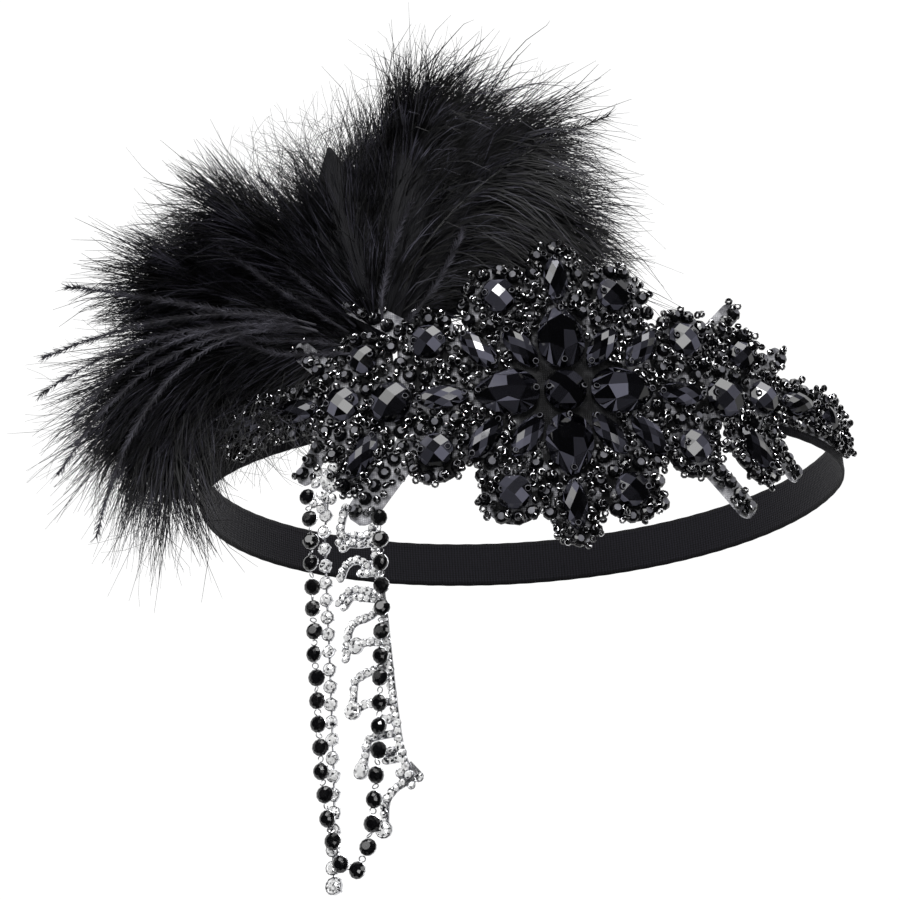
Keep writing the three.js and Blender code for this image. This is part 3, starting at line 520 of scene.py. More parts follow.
def stone_places():
    """Each CAD stone's place: the middle of its lowest ring, taken to arc length and height."""
    table_xy = on_band(front_arc, 0.0, STONE_SEAT)[:, :2]
    stones = {}
    for node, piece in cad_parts.items():
        if not node.startswith("stone_"):
            continue
        name = node[len("stone_"):]
        left = name.endswith("_left")
        cut, turn = STONE_TURNS[name.removesuffix("_left").removesuffix("_right")]
        co = np.empty(len(piece.data.vertices) * 3)
        piece.data.vertices.foreach_get("co", co)
        co = co.reshape(-1, 3) / MM
        middle = (co.min(0) + co.max(0)) / 2
        nearest = np.argmin(np.hypot(table_xy[:, 0] - abs(middle[0]), table_xy[:, 1] - middle[1]))
        guess = np.sign(middle[0]) * front_arc[nearest]
        height = (co - on_band(guess, 0.0)) @ band_axes(guess)[2]
        seat = co[height < height.min() + 0.05]
        seat = (seat.min(0) + seat.max(0)) / 2
        nearest = np.argmin(np.hypot(table_xy[:, 0] - abs(seat[0]), table_xy[:, 1] - seat[1]))
        across = np.sign(seat[0]) * front_arc[nearest] if abs(seat[0]) > 0.1 else 0.0
        stones[name] = {"cut": cut, "turn": 180 - turn if left else turn, "across": across,
                        "rise": seat[2] + BACKING_DROP}
    return stones


def facet_corners(cut):
    """Corners of the facets as shares of half length and half width: a diamond lattice, or for a pear
    four kites that meet in the middle, whose outer corner makes each of them flat."""
    facet = CUTS[cut][3]
    if not facet:
        along, aside, outer = 0.58, 0.45, 0.35
        far = (aside + math.sqrt(aside ** 2 + 4 * outer * (along - outer))) / 2
        x = np.array([0, along, -along, 0, 0, outer, outer, -outer, -outer])
        return x, np.array([0, 0, 0, aside, -aside, far, -far, far, -far])
    i, j = np.meshgrid(np.arange(-3, 4), np.arange(-3, 4))
    odd = (i + j) % 2 == 1
    x, y = i[odd] * facet, j[odd] * facet
    limit = outline_point(cut, np.arccos(np.clip(x / 0.93, -1, 1)))[:, 1] / (CUTS[cut][1] / 2)
    inside = (np.abs(x) < 0.93) & (np.abs(y) < 0.93 * limit)
    return x[inside], y[inside]


def cut_stone(cut):
    """The facets' corners lie on a dome that falls with the square of the distance from the middle, so
    every facet is flat. The dome stands on an upright girdle over a shallow bevelled back."""
    length, width, _, _ = CUTS[cut]
    top = GIRDLE_HEIGHT + STONE_HEIGHT_SHARE * width
    x, y = facet_corners(cut)
    fall = (top - GIRDLE_HEIGHT) * 0.8 * (x * x + y * y)
    dome = np.stack([x * length / 2, y * width / 2, top - fall], -1)
    rings = []
    for sides, grow, height in ((24, -0.5, 0.0), (24, 0.0, 0.35), (24, 0.0, GIRDLE_HEIGHT - 0.2),
                                (12, -0.3, GIRDLE_HEIGHT + 0.25)):
        edge = outline_point(cut, 2 * np.pi * (np.arange(sides) + 0.5) / sides, grow)
        rings.append(np.concatenate([edge, np.full((len(edge), 1), height)], 1))
    points = np.concatenate([dome, *rings])
    mesh = bmesh.new()
    seed = bpy.data.meshes.new("corners")
    seed.from_pydata(points, [], [])
    mesh.from_mesh(seed)
    found = bmesh.ops.convex_hull(mesh, input=mesh.verts[:])
    loose = [v for v in found["geom_interior"] if isinstance(v, bmesh.types.BMVert)]
    bmesh.ops.delete(mesh, geom=loose, context="VERTS")
    bmesh.ops.recalc_face_normals(mesh, faces=mesh.faces[:])
    mesh.to_mesh(seed)
    mesh.free()
    corners = np.empty(len(seed.vertices) * 3)
    seed.vertices.foreach_get("co", corners)
    faces = np.empty(len(seed.polygons) * 3, int)
    seed.polygons.foreach_get("vertices", faces)
    bpy.data.meshes.remove(seed)
    return corners.reshape(-1, 3), [faces.reshape(-1, 3)], np.zeros(len(faces) // 3, int)


def paint_facet_reflections(piece):
    """Gives each flat facet a painted reflection tone from 0 to 1: a scrambled sine of its normal's direction.
    """
    normals = np.empty(len(piece.data.polygons) * 3)
    piece.data.polygons.foreach_get("normal", normals)
    mixed = np.round(normals.reshape(-1, 3), 2) @ [127.1, 311.7, 74.7]
    tone = np.abs(np.sin(mixed) * 43758.5) % 1.0
    layer = piece.data.attributes.new("facet_painted_reflection", "FLOAT", "FACE")
    layer.data.foreach_set("value", tone)


def sewn_stones(stones):
    """Each stone is its cut set on the band, turned in the band's surface."""
    shapes = {cut: cut_stone(cut) for cut in CUTS}
    for name, stone in stones.items():
        axes = band_axes(stone["across"])
        turn = math.radians(stone["turn"])
        along = math.cos(turn) * axes[0] + math.sin(turn) * axes[1]
        aside = -math.sin(turn) * axes[0] + math.cos(turn) * axes[1]
        origin = on_band(stone["across"], stone["rise"] - BACKING_DROP, STONE_SEAT)
        piece = copies(f"cut_stone_{name}", shapes[stone["cut"]], origin[None],
                       np.stack([along, aside, axes[2]])[None])
        paint_facet_reflections(piece)
        dress(piece, [acrylic], [f"stone_{name}"])


# Organza backing and its outline

COVER_ANGLES = np.radians([0, 30, 55, 90, 125, 150, 180])
# Columns: half of the band, stone it starts beside, offset, heading, length, share of the frond's width
FRONDS = [
    (1, "shoulder_top", -4.5, 45, 23, 1.0), (1, "spine_medium", 3.8, 46, 20, 1.0),
    (1, "spine_medium", -5.5, -51, 25.3, 1.0), (1, "shoulder_bottom", 0, -47, 25.5, 1.2),
    (-1, "shoulder_top", 0, 36, 29, 1.0), (-1, "spine_medium", 3.8, 48, 25, 1.0),
    (-1, "spine_medium", 0, -55, 25, 1.0), (-1, "shoulder_bottom", 7, -49, 28.5, 1.5),
]


def cover_circles(stone):
    """Circles (x, y, radius) that cover a stone's plan: one for a round stone, seven along the length
    of the others."""
    length, width, form, _ = CUTS[stone["cut"]]
    if form == "round":
        return np.array([[stone["across"], stone["rise"], width / 2]])
    edge = outline_point(stone["cut"], COVER_ANGLES)
    radius = np.maximum(edge[:, 1], 0.5)
    reach = length / 2 - radius
    flat = np.stack([np.clip(edge[:, 0], -reach, reach), np.zeros(len(edge))], -1)
    place = turn_flat(flat, stone["turn"]) + [stone["across"], stone["rise"]]
    return np.concatenate([place, radius[:, None]], 1)


def frond_line(frond):
    """The flat root and tip of a frond, from the stone it starts beside."""
    side, start, aside, heading, length, _ = frond
    stone = stones[f"{start}_right"]
    way = np.array([math.cos(math.radians(heading)), math.sin(math.radians(heading))])
    root = np.array([stone["across"], stone["rise"]]) + aside * np.array([-way[1], way[0]])
    return root * [side, 1], (root + length * way) * [side, 1]


def edge_rise(across, side, inset=0.0):
    """The backing's edge above or below: the farthest reach of the circles round the stones and of
    the tail's round end, less an inset at the ringed stones."""
    across = np.asarray(across, float)
    rows = []
    for name, stone in stones.items():
        rows.append(cover_circles(stone) + [0, 0, RIM_WIDTH - inset if name.startswith(RINGED) else 0.7])
    circles = np.concatenate(rows)
    gap = circles[:, 2][None] ** 2 - (across[:, None] - circles[:, 0][None]) ** 2
    rise = np.where(gap > 0, side * circles[:, 1][None] + np.sqrt(np.maximum(gap, 0)), -np.inf).max(1)
    end = stones["spine_end_right"]
    radius = TAIL_WIDTH / 2
    middle = np.clip(across, -end["across"] - LEFT_TAIL_OVERHANG + radius,
                     end["across"] + RIGHT_TAIL_OVERHANG - radius)
    gap = radius ** 2 - (across - middle) ** 2
    tail = np.where(gap > 0, side * end["rise"] + np.sqrt(np.maximum(gap, 0)), -np.inf)
    in_tail = np.abs(across) > stones["spine_medium_right"]["across"]
    return side * np.where(in_tail, np.maximum(rise, tail), rise)


def cloth_strip(lower, upper, back, rows):
    """A closed thin strip of cloth between two flat edge lines: rows across it, bent to the band, with
    a slight ripple, and its back a thickness behind. Gives points, faces and a flat UV."""
    share = np.linspace(0, 1, rows)[None, :, None]
    flat = lower[:, None] * (1 - share) + upper[:, None] * share
    wander = flat[..., 0] * 0.9 + 1.3 * np.sin(flat[..., 1] * 0.5)
    ripple = 0.18 * np.sin(wander) * np.sin(np.pi * share[..., 0])
    front = on_band(flat[..., 0], flat[..., 1] - BACKING_DROP, back + ORGANZA_THICKNESS + ripple)
    rear = on_band(flat[..., 0], flat[..., 1] - BACKING_DROP, back + ripple)
    ring = np.concatenate([front, rear[:, ::-1]], 1)
    count = 2 * rows
    quads = grid_faces(len(lower), count)
    ends = np.stack([np.arange(count)[::-1], (len(lower) - 1) * count + np.arange(count)])
    uv = np.concatenate([flat, flat[:, ::-1]], 1).reshape(-1, 2) * MM
    return ring.reshape(-1, 3), quads, ends, uv


def organza_pieces():
    """The cut backing between its lower and upper edge, and the fronds that stand out of it."""
    end = stones["spine_end_right"]["across"]
    across = np.linspace(-end - LEFT_TAIL_OVERHANG + 0.35, end + RIGHT_TAIL_OVERHANG - 0.35, 440)
    lower = np.stack([across, edge_rise(across, -1, CHATON_OVERHANG)], -1)
    upper = np.stack([across, edge_rise(across, 1, CHATON_OVERHANG)], -1)
    strips = [cloth_strip(lower, upper, 1.3, 14)]
    area = np.mean(upper[:, 1] - lower[:, 1]) * (across[-1] - across[0])
    for k, frond in enumerate(FRONDS):
        root, tip = frond_line(frond)
        way = (tip - root) / np.linalg.norm(tip - root)
        aside = np.array([-way[1], way[0]])
        share = np.linspace(0, 1, 40)
        rounding = 1 - np.clip((share - 0.86) / 0.15, 0, 1) ** 2
        half = FROND_WIDTH * frond[5] / 2 * np.sqrt(np.clip(rounding, 0.05, 1))
        middle = root + share[:, None] * (tip - root)
        strips.append(cloth_strip(middle - aside * half[:, None], middle + aside * half[:, None], 1.45, 6))
        area += FROND_WIDTH * frond[5] * frond[4] * 0.5
    points, quads, ends, uvs, shift = [], [], [], [], 0
    for strip_points, strip_quads, strip_ends, strip_uv in strips:
        points.append(strip_points)
        quads.append(strip_quads + shift)
        ends.append(strip_ends + shift)
        uvs.append(strip_uv)
        shift += len(strip_points)
    slots = np.concatenate([np.arange(len(quads[0])) * 0, np.ones(sum(len(q) for q in quads[1:]), int),
                            [0, 0], np.ones(2 * len(FRONDS), int)])
    piece = make_mesh("organza_backing", np.concatenate(points), [np.concatenate(quads), *ends],
                      slots, np.concatenate(uvs))
    piece.data.flip_normals()
    dress(piece, [organza, frond_organza], ["applique_backing"])
    return piece, area


# Chatons and seed beads

class Taken:
    """Flat circles that are already filled, for testing whether a new circle clears them."""

    def __init__(self, circles):
        self.rows = np.zeros((6000, 3))
        self.rows[:len(circles)] = circles
        self.count = len(circles)

    def clears(self, place, reach):
        rows = self.rows[:self.count]
        return bool(np.all(np.hypot(rows[:, 0] - place[0], rows[:, 1] - place[1]) > rows[:, 2] + reach))

    def add(self, place, radius):
        self.rows[self.count] = (*place, radius)
        self.count += 1


def scatter_small_stones():
    """Places of chatons and seed beads. Chatons come first, along the fronds, then round the ringed
    stones, then between; seed beads fill what is left, one after another wherever they clear the
    others, and a second layer lies on the first. Gives arrays of (across, rise) and of (across, rise,
    height)."""
    radius = CHATON_DIAMETER / 2
    taken = Taken(np.concatenate([cover_circles(stone) for stone in stones.values()]))
    table = np.linspace(-116, 116, 2321)
    low, high = edge_rise(table, -1), edge_rise(table, 1)
    chatons = []

    def depth(place):
        return min(np.interp(place[0], table, high) - place[1], place[1] - np.interp(place[0], table, low))

    def try_chaton(place, gap):
        if taken.clears(place, radius + gap):
            chatons.append(place)
            taken.add(place, radius)

    for frond in FRONDS:
        root, tip = frond_line(frond)
        way = (tip - root) / frond[4]
        normal = np.array([-way[1], way[0]]) * (-1 if frond[3] < 0 else 1) * frond[0]
        for step in np.arange(frond[4] - 2.6, 2, -4.4):
            try_chaton(root + way * step - normal * 0.9 * frond[5], 0.05)
    for name in sorted(stones, key=lambda key: -abs(stones[key]["across"])):
        stone = stones[name]
        if not name.startswith(RINGED):
            continue
        outward = math.atan2(stone["rise"], stone["across"]) - math.radians(stone["turn"])
        for k in range(91):
            for side in (1, -1):
                angle = outward + side * np.pi * k / 90
                edge = outline_point(stone["cut"], angle, radius + 0.5)
                place = turn_flat(edge, stone["turn"]) + [stone["across"], stone["rise"]]
                if depth(place) < 0.85 * CHATON_DIAMETER:
                    try_chaton(place, 0.1)
    for _ in range(CHATON_TRIES):
        place = np.array([rng.uniform(-105, 115), rng.uniform(-45, 45)])
        if depth(place) > 1.8 and np.hypot(*place) > 19:
            try_chaton(place, 0.1)
    beads = []
    for place in chatons:
        aside = rng.uniform(0, 2 * np.pi)
        far = 0.25 if rng.random() < 0.4 else 1.75
        beads.append((place[0] + far * math.cos(aside), place[1] + far * math.sin(aside), 4.6 - 0.5 * far))
    under = np.column_stack([rng.uniform(-108, 116, BEAD_TRIES), rng.uniform(-46, 46, BEAD_TRIES)])
    for place in under:
        inner = np.hypot(*place) < 17
        if depth(place) > 0.3 and not inner and taken.clears(place, 0.7):
            beads.append((*place, rng.uniform(2.1, 3.2)))
            taken.add(place, 1.0)
    for frond in FRONDS:
        root, tip = frond_line(frond)
        for share in rng.uniform(0.15, 0.95, 70):
            place = root + share * (tip - root) + rng.uniform(-2.2, 2.2, 2) * frond[5]
            if taken.clears(place, 0.7):
                beads.append((*place, rng.uniform(2.1, 3.2)))
                taken.add(place, 1.0)
    lower = np.array(beads)
    upper = Taken(np.concatenate([cover_circles(stone) for stone in stones.values()]))
    for place in lower[rng.permutation(len(lower))][:, :2]:
        spot = place + rng.normal(0, 0.9, 2)
        if depth(spot) > 0.5 and upper.clears(spot, 1.2):
            beads.append((*spot, rng.uniform(3.7, 4.7)))
            upper.add(spot, 1.9)
    return np.array(chatons), np.array(beads)


def chaton_shape():
    """A flat-backed round stone: girdle, two rows of crown facets and a flat table in a slot of its own, which
    is given a painted grey reflection.
    """
    r = CHATON_DIAMETER / 2
    profile = [(r * 0.9, 0), (r, 0.35), (r, 0.8), (r * 0.82, 1.5), (r * 0.47, CHATON_HEIGHT)]
    return turned_shape(profile, 9, np.array([0, 0, 0, 0, 1]))


def seed_bead_shape():
    """A rounded ring turned about its hole, with a silver cone round each mouth of the hole."""
    outer = SEED_BEAD_DIAMETER / 2
    profile = [(0.58, 0.4), (0.58, -0.4), (0.8, -0.66), (0.99, -0.52), (outer, 0), (0.99, 0.52), (0.8, 0.66)]
    return turned_shape(profile, 8, np.array([0, 0, 1, 0, 0, 1, 0]), closed=True)


def small_stones(chatons, beads):
    """Chatons lie on the organza; seed beads stand at all angles, some on the others."""
    seat = BACKING_BACK + 0.85
    origins = on_band(chatons[:, 0], chatons[:, 1] - BACKING_DROP, seat)
    axes = random_axes(band_axes(chatons[:, 0]), 18)
    piece = copies("sewn_chatons", chaton_shape(), origins, axes, rng.uniform(0.92, 1.04, len(chatons)))
    # The chatons' tables get the painted grey reflection.
    dress(piece, [jet, table_painted_reflection])
    origins = on_band(beads[:, 0], beads[:, 1] - BACKING_DROP, beads[:, 2])
    axes = random_axes(band_axes(beads[:, 0]), 45)
    piece = copies("seed_beads", seed_bead_shape(), origins, axes, rng.uniform(0.88, 1.04, len(beads)))
    dress(piece, [jet, lining])


def sewing_beads():
    """The seed bead that holds each stone at its two sewing holes, half sunk in the stone's face."""
    origins, axes = [], []
    for stone in stones.values():
        length, width, _, _ = CUTS[stone["cut"]]
        for side in (1, -1):
            flat = turn_flat([[side * (length / 2 - 1.4), 0]], stone["turn"])[0]
            place = [stone["across"] + flat[0], stone["rise"] + flat[1] - BACKING_DROP]
            fall = 0.8 * (1 - 2.8 / length) ** 2 * STONE_HEIGHT_SHARE * width
            rise = STONE_SEAT + GIRDLE_HEIGHT + STONE_HEIGHT_SHARE * width - fall - 0.2
            origins.append(on_band(*place, rise))
            axes.append(band_axes(stone["across"]))
    piece = copies("sewing_beads", seed_bead_shape(), np.array(origins), random_axes(np.array(axes), 30), 0.9)
    # The cones round the holes of these beads get the painted grey reflection of the tables.
    dress(piece, [jet, table_painted_reflection])


# Hanging chains

def drop_frame():
    """Origin and axes of the upright plane through the tips of the two hanging fronds."""
    tip, far = frond_line(FRONDS[6])[1], frond_line(FRONDS[7])[1]
    height = tip[1] - BACKING_DROP - 1.4
    origin = on_band(tip[0], height, 0.0)
    along = on_band(far[0], height, 0.0) - origin
    along /= np.linalg.norm(along)
    up = np.array([0.0, 0.0, 1.0])
    return origin + 2.2 * along, np.stack([along, up, np.cross(along, up)])


JET_MIDDLE = BACKING_FRONT + 0.3 + JET_DEPTH / 2
CRYSTAL_MIDDLE = JET_MIDDLE - JET_DEPTH / 2 - 0.3 - CUP_DEPTH / 2
JET_ROUTE = [(0.3, -3.5), (0.6, -10), (0.3, -29), (0.2, -53), (0.3, -72), (0.9, -86), (2.2, -97),
             (4.6, -105.7), (8.1, -109.3), (11.4, -106.6), (13.1, -102.4), (14.9, -95), (16.6, -85),
             (18.1, -74), (19.3, -60), (20.6, -44), (21.5, -29), (21.7, -20), (21.6, -13.5)]
CUP_ROUTE = [(4.9, 4.9, 2.2), (6.3, 0.2, 2.7), (5.8, -4.3, 1.2), (4.5, -8.5, 0), (3.5, -15, 0),
             (3.2, -49, 0), (2.8, -77, 0), (2.2, -94, 0), (1.2, -105, 0), (1.5, -111.5, 0)]
SCROLL_STRIPS = [
    (1, [(18.4, -15.2), (19.2, -25), (20.3, -40), (21.7, -65), (23, -78), (25, -85)]),
    (2, [(8.6, -18.5), (11, -17.2), (14, -18), (19, -18.4)]),
    (1, [(10.5, -8), (9.4, -11.2), (8.6, -14), (9, -17)]),
    (1, [(8.2, -27.8), (9.4, -25), (12, -23.5), (15, -24.4)]),
    (2, [(14.2, -26.4), (20, -27)]),
    (1.8, [(7.8, -35.6), (10.9, -32.8), (15.5, -34), (20, -35.2)]),
    (1, [(20, -38), (15.8, -40.4), (12, -41), (9.6, -43.2), (8.2, -51)]),
    (1, [(11.8, -47.9), (15.4, -47.2), (20.5, -48.6)]),
    (1, [(20.8, -54.5), (12.2, -56.4), (10.3, -58.8), (9.6, -65.7)]),
    (1, [(9.6, -65.7), (14, -64.2), (21.4, -64.8)]),
    (1, [(18.6, -69.3), (22, -69.3)]),
    (1, [(22.4, -73.4), (14.2, -73.8), (13, -76.3), (12.2, -79.2), (11.4, -82.2)]),
    (2, [(18.4, -79.2), (23.7, -79.2)]),
    (2.4, [(23.6, -83.4), (26.8, -87.2)]),
    (1, [(25, -86.5), (21.5, -87.8), (19.2, -89.4), (17.7, -92), (17, -98.6)]),
]
SCROLL_STONES = [(11.8, -47.9), (9.6, -65.7), (11.4, -82.2), (16.9, -98.6)]


def smooth_line(corners, spacing):
    """Evenly spaced points on a Catmull-Rom curve through the corners."""
    corners = np.asarray(corners, float)
    padded = np.concatenate([[2 * corners[0] - corners[1]], corners, [2 * corners[-1] - corners[-2]]])
    t = np.linspace(0, 1, 40, endpoint=False)[:, None]
    parts = []
    for a, b, c, d in zip(padded, padded[1:], padded[2:], padded[3:]):
        parts.append(0.5 * (2 * b + (c - a) * t + (2 * a - 5 * b + 4 * c - d) * t ** 2
                            + (3 * b - a - 3 * c + d) * t ** 3))
    line = np.concatenate(parts + [corners[-1:]])
    arc = np.concatenate([[0], np.cumsum(np.linalg.norm(np.diff(line, axis=0), axis=1))])
    count = max(int(round(arc[-1] / spacing)), 1)
    even = np.linspace(0, arc[-1], count + 1)
    return np.stack([np.interp(even, arc, line[:, k]) for k in range(line.shape[1])], -1)


def hang(flat):
    """Points given as aside, rise and out of the drop plane, as places in the row's frame."""
    return drop_origin + np.asarray(flat) @ drop_axes


def brilliant_shape(diameter, depth, sides):
    """A round stone: pointed back, thin girdle, two rows of crown facets and a flat table."""
    r = diameter / 2
    profile = [(r * 0.35, 0), (r, depth * 0.42), (r, depth * 0.55), (r * 0.78, depth * 0.84), (r * 0.48, depth)]
    return turned_shape(profile, sides, np.zeros(5, int))


def cup_shape(diameter, depth):
    """A stamped cup: outside wall, lip, inside wall and floor, turned about its middle."""
    r = diameter / 2
    profile = [(r * 0.8, 0), (r, 0.25), (r + 0.05, depth), (r - 0.15, depth), (r - 0.2, 0.45), (0.2, 0.4)]
    return turned_shape(profile, 12, np.zeros(6, int))


def ring_shape(radius, wire):
    """A round wire ring in its own XY plane."""
    angle = 2 * np.pi * np.arange(5) / 5
    profile = np.stack([radius + wire * np.cos(angle), wire * np.sin(angle)], -1)
    return turned_shape(profile, 10, np.zeros(5, int), closed=True)


def claw_shape(radius, height):
    """Four bent claws on a cup: each a small tapered prong that leans over the stone's girdle."""
    paths = []
    for k in range(4):
        angle = np.pi / 4 + k * np.pi / 2
        out = np.array([math.cos(angle), math.sin(angle), 0])
        paths.append([out * radius, out * (radius + 0.08) + [0, 0, height * 0.7],
                      out * (radius - 0.35) + [0, 0, height + 0.25]])
    points, faces = tubes(np.array(paths), np.tile([0.3, 0.26, 0.16], (4, 1)), 4)
    return points, faces, np.zeros(sum(len(f) for f in faces), int)


def placed_axes(count, tilt):
    """The drop plane's axes, each tipped at random a little."""
    return random_axes(np.tile(drop_axes, (count, 1, 1)), tilt)


def jet_string():
    """The jets: black round stones in thin silver bezels, joined by small silver rings."""
    route = np.array([(a, r, JET_MIDDLE - 0.5 * JET_DEPTH) for a, r in JET_ROUTE])
    places = smooth_line(route, 6.5)
    axes = placed_axes(len(places), 14)
    piece = copies("jet_stones", brilliant_shape(4.6, JET_DEPTH, 12), hang(places), axes)
    dress(piece, [jet], ["jet_chain"])
    bezel = [(1.9, 0.2), (2.3, 0.6), (2.38, 1.05), (2.28, 1.1), (2.15, 0.75), (1.8, 0.4)]
    piece = copies("jet_bezels", turned_shape(bezel, 12, np.zeros(6, int), closed=True), hang(places), axes)
    dress(piece, [silver])
    middle = (places[1:] + places[:-1]) / 2 + [0, 0, 1.1]
    link_axes = random_axes(np.tile(drop_axes, (len(middle), 1, 1)), 50)
    piece = copies("jet_links", ring_shape(0.85, 0.17), hang(middle), link_axes)
    dress(piece, [silver])
    return places


def bars_between(name, places, radius, sides, material, bow=0.0):
    """Straight wires from each place to the next."""
    paths = np.stack([places[:-1], (places[:-1] + places[1:]) / 2 + [0, 0, bow], places[1:]], 1)
    hung = hang(paths.reshape(-1, 3)).reshape(paths.shape)
    points, faces = tubes(hung, np.full(paths.shape[:2], radius), sides)
    piece = make_mesh(name, points, faces)
    return dress(piece, [material])


def cup_string():
    """Cup chain: clear round stones in clawed silver cups, joined by flat bars, the last one larger."""
    route = np.array([(a, r, CRYSTAL_MIDDLE + out) for a, r, out in CUP_ROUTE])
    places = smooth_line(route, 4.85)[1:] - [0, 0, CUP_DEPTH / 2]
    sizes = np.full(len(places), 1.0)
    sizes[-1] = 1.28
    axes = placed_axes(len(places), 10)
    piece = copies("cup_chain_cups", cup_shape(3.7, 1.1), hang(places), axes, sizes)
    dress(piece, [silver], ["crystal_chain"])
    piece = copies("cup_chain_claws", claw_shape(1.75, 1.1), hang(places), axes, sizes)
    dress(piece, [silver])
    piece = copies("cup_chain_crystals", brilliant_shape(3.3, 1.6, 10), hang(places + [0, 0, 0.4]), axes, sizes)
    dress(piece, [crystal])
    bars_between("cup_chain_bars", places + [0, 0, 0.3], 0.32, 5, silver)


def cluster():
    """A pile of clear stones where the cup chain meets the frond."""
    places = []
    for _ in range(400):
        place = np.array([rng.uniform(1.6, 8.8), rng.uniform(-7.5, 4.5),
                          CRYSTAL_MIDDLE + rng.uniform(-0.4, 1.6)])
        if all(np.linalg.norm(place[:2] - other[:2]) > 2.5 for other in places):
            places.append(place)
        if len(places) > 12:
            break
    places = np.array(places)
    axes = placed_axes(len(places), 35)
    sizes = rng.uniform(0.75, 1.05, len(places))
    piece = copies("cluster_cups", cup_shape(3.3, 0.9), hang(places), axes, sizes)
    dress(piece, [silver])
    piece = copies("cluster_crystals", brilliant_shape(3.0, 1.7, 10), hang(places + [0, 0, 0.35]), axes, sizes)
    dress(piece, [crystal])


def scroll_branch():
    """Scroll branch: each strip is rows of small clear stones side by side on a silver plate."""
    places, plates = [], []
    for wide, corners in SCROLL_STRIPS:
        line = smooth_line(corners, 2.05)
        way = np.gradient(line, axis=0)
        way /= np.linalg.norm(way, axis=1, keepdims=True)
        aside = np.stack([-way[:, 1], way[:, 0]], -1)
        rows = 1 if wide == 1 else 2
        for row in range(rows):
            offset = (row - (rows - 1) / 2) * 2.3 * wide / max(rows, 1) if rows > 1 else 0
            places.append(line + aside * offset)
        half = wide * 1.2 - 0.15
        edge = np.stack([line + aside * half, line - aside * half], 1)
        plates.append(edge)
    points, quads, ends, shift = [], [], [], 0
    for edge in plates:
        left, right = edge[:, 0], edge[:, 1]
        back = np.full((len(left), 1), CRYSTAL_MIDDLE - 0.8)
        front = back + 0.5
        ring = np.stack([np.hstack([left, back]), np.hstack([right, back]), np.hstack([right, front]),
                         np.hstack([left, front])], 1)
        points.append(hang(ring.reshape(-1, 3)))
        quads.append(grid_faces(len(left), 4) + shift)
        ends.append(np.array([[3, 2, 1, 0], (len(left) - 1) * 4 + np.arange(4)]) + shift)
        shift += ring.size // 3
    piece = make_mesh("scroll_plate", np.concatenate(points), [np.concatenate(quads), *ends])
    dress(piece, [silver], ["crystal_scroll"])
    flat = np.concatenate(places)
    keep = []
    for k, place in enumerate(flat):
        if all(np.hypot(*(place - flat[j])) > 1.5 for j in keep):
            keep.append(k)
    flat = flat[keep] + rng.uniform(-0.15, 0.15, (len(keep), 2))
    origins = hang(np.column_stack([flat, np.full(len(flat), CRYSTAL_MIDDLE - 0.35)]))
    axes = placed_axes(len(flat), 24)
    sizes = rng.uniform(0.85, 1.15, len(flat))
    piece = copies("scroll_crystals", brilliant_shape(2.0, 1.3, 8), origins, axes, sizes)
    dress(piece, [crystal])
    piece = copies("scroll_settings", ring_shape(1.08, 0.2), origins + 0.35 * drop_axes[2], axes, sizes)
    dress(piece, [silver])
    large = np.array([(a, r, CRYSTAL_MIDDLE - 0.6) for a, r in SCROLL_STONES])
    axes = placed_axes(len(large), 8)
    piece = copies("scroll_large_cups", cup_shape(4.7, 1.1), hang(large), axes)
    dress(piece, [silver])
    piece = copies("scroll_large_crystals", brilliant_shape(4.3, 2.0, 12), hang(large + [0, 0, 0.35]), axes)
    dress(piece, [crystal])


# Plume

PLUME_REACH = 100.0
PLUME_FRONT = 15.5
# Columns of the feathers: bend heading, bend reach, tip heading, tip reach, bend out, tip out, width;
# headings are degrees, the rest shares
LOCKS = [
    (158, 0.92, 221, 0.86, -0.3, 0.05, 0.9), (160, 0.75, 204, 0.95, -0.24, 0, 1),
    (158, 0.6, 190, 0.98, -0.26, 0.1, 1), (152, 0.5, 176, 0.94, -0.28, -0.05, 1),
    (143, 0.45, 160, 0.86, -0.28, 0.12, 1), (133, 0.45, 145, 0.84, -0.27, -0.1, 1),
    (123, 0.45, 130, 0.82, -0.24, 0.1, 1), (112, 0.45, 115, 0.83, -0.18, -0.08, 0.9),
    (103, 0.45, 102, 0.82, 0, 0.1, 0.9), (95, 0.5, 88, 0.93, -0.06, -0.06, 1),
    (89, 0.5, 75, 0.99, 0, 0.08, 1), (84, 0.55, 61, 0.98, -0.1, -0.08, 1),
    (77, 0.6, 47, 0.92, -0.1, 0, 1), (72, 0.6, 31, 0.82, -0.18, -0.15, 0.9),
    (65, 0.55, 17, 0.77, -0.25, -0.25, 0.8),
]
SPIKE = (73, 0.53, 40.6, 0.935, -0.05, 0, 1)
SHAFTS = [
    (113, 0.59, 123, 0.74, -0.2, 0, 1), (146, 0.36, 139, 0.76, -0.12, -0.02, 1),
    (132, 0.5, 131, 0.7, -0.2, -0.02, 1), (27, 0.19, 50, 0.42, 0, 0.02, 1), (88, 0.2, 75, 0.44, 0, -0.02, 1),
    (98, 0.4, 96, 0.62, -0.05, 0, 1), (168, 0.4, 170, 0.6, -0.1, 0, 1), (187, 0.36, 164, 0.48, -0.05, 0, 1),
]
FURRY_TAILS = [
    (160, 0.5, 163, 0.95, 0, 0.1, 1), (155, 0.61, 190, 0.9, 0, 0.12, 1), (158, 0.62, 184, 0.99, 0, 0.12, 1),
    (157, 0.66, 199, 0.98, 0, 0.12, 1), (155, 0.7, 212, 0.96, 0, 0.1, 1), (150, 0.5, 177, 0.98, 0, 0.12, 1),
]
STRAYS = [
    (190, 0.3, 226, 0.5, 0, 0.04, 1), (185, 0.35, 214, 0.62, 0, 0.06, 1),
    (118, 0.45, 122, 0.9, -0.2, 0, 1), (110, 0.45, 112, 0.88, -0.15, 0, 1), (102, 0.45, 102, 0.86, 0, 0, 1),
]
FLOW_STATIONS = 90
HAIRS_PER_FEATHER = 34
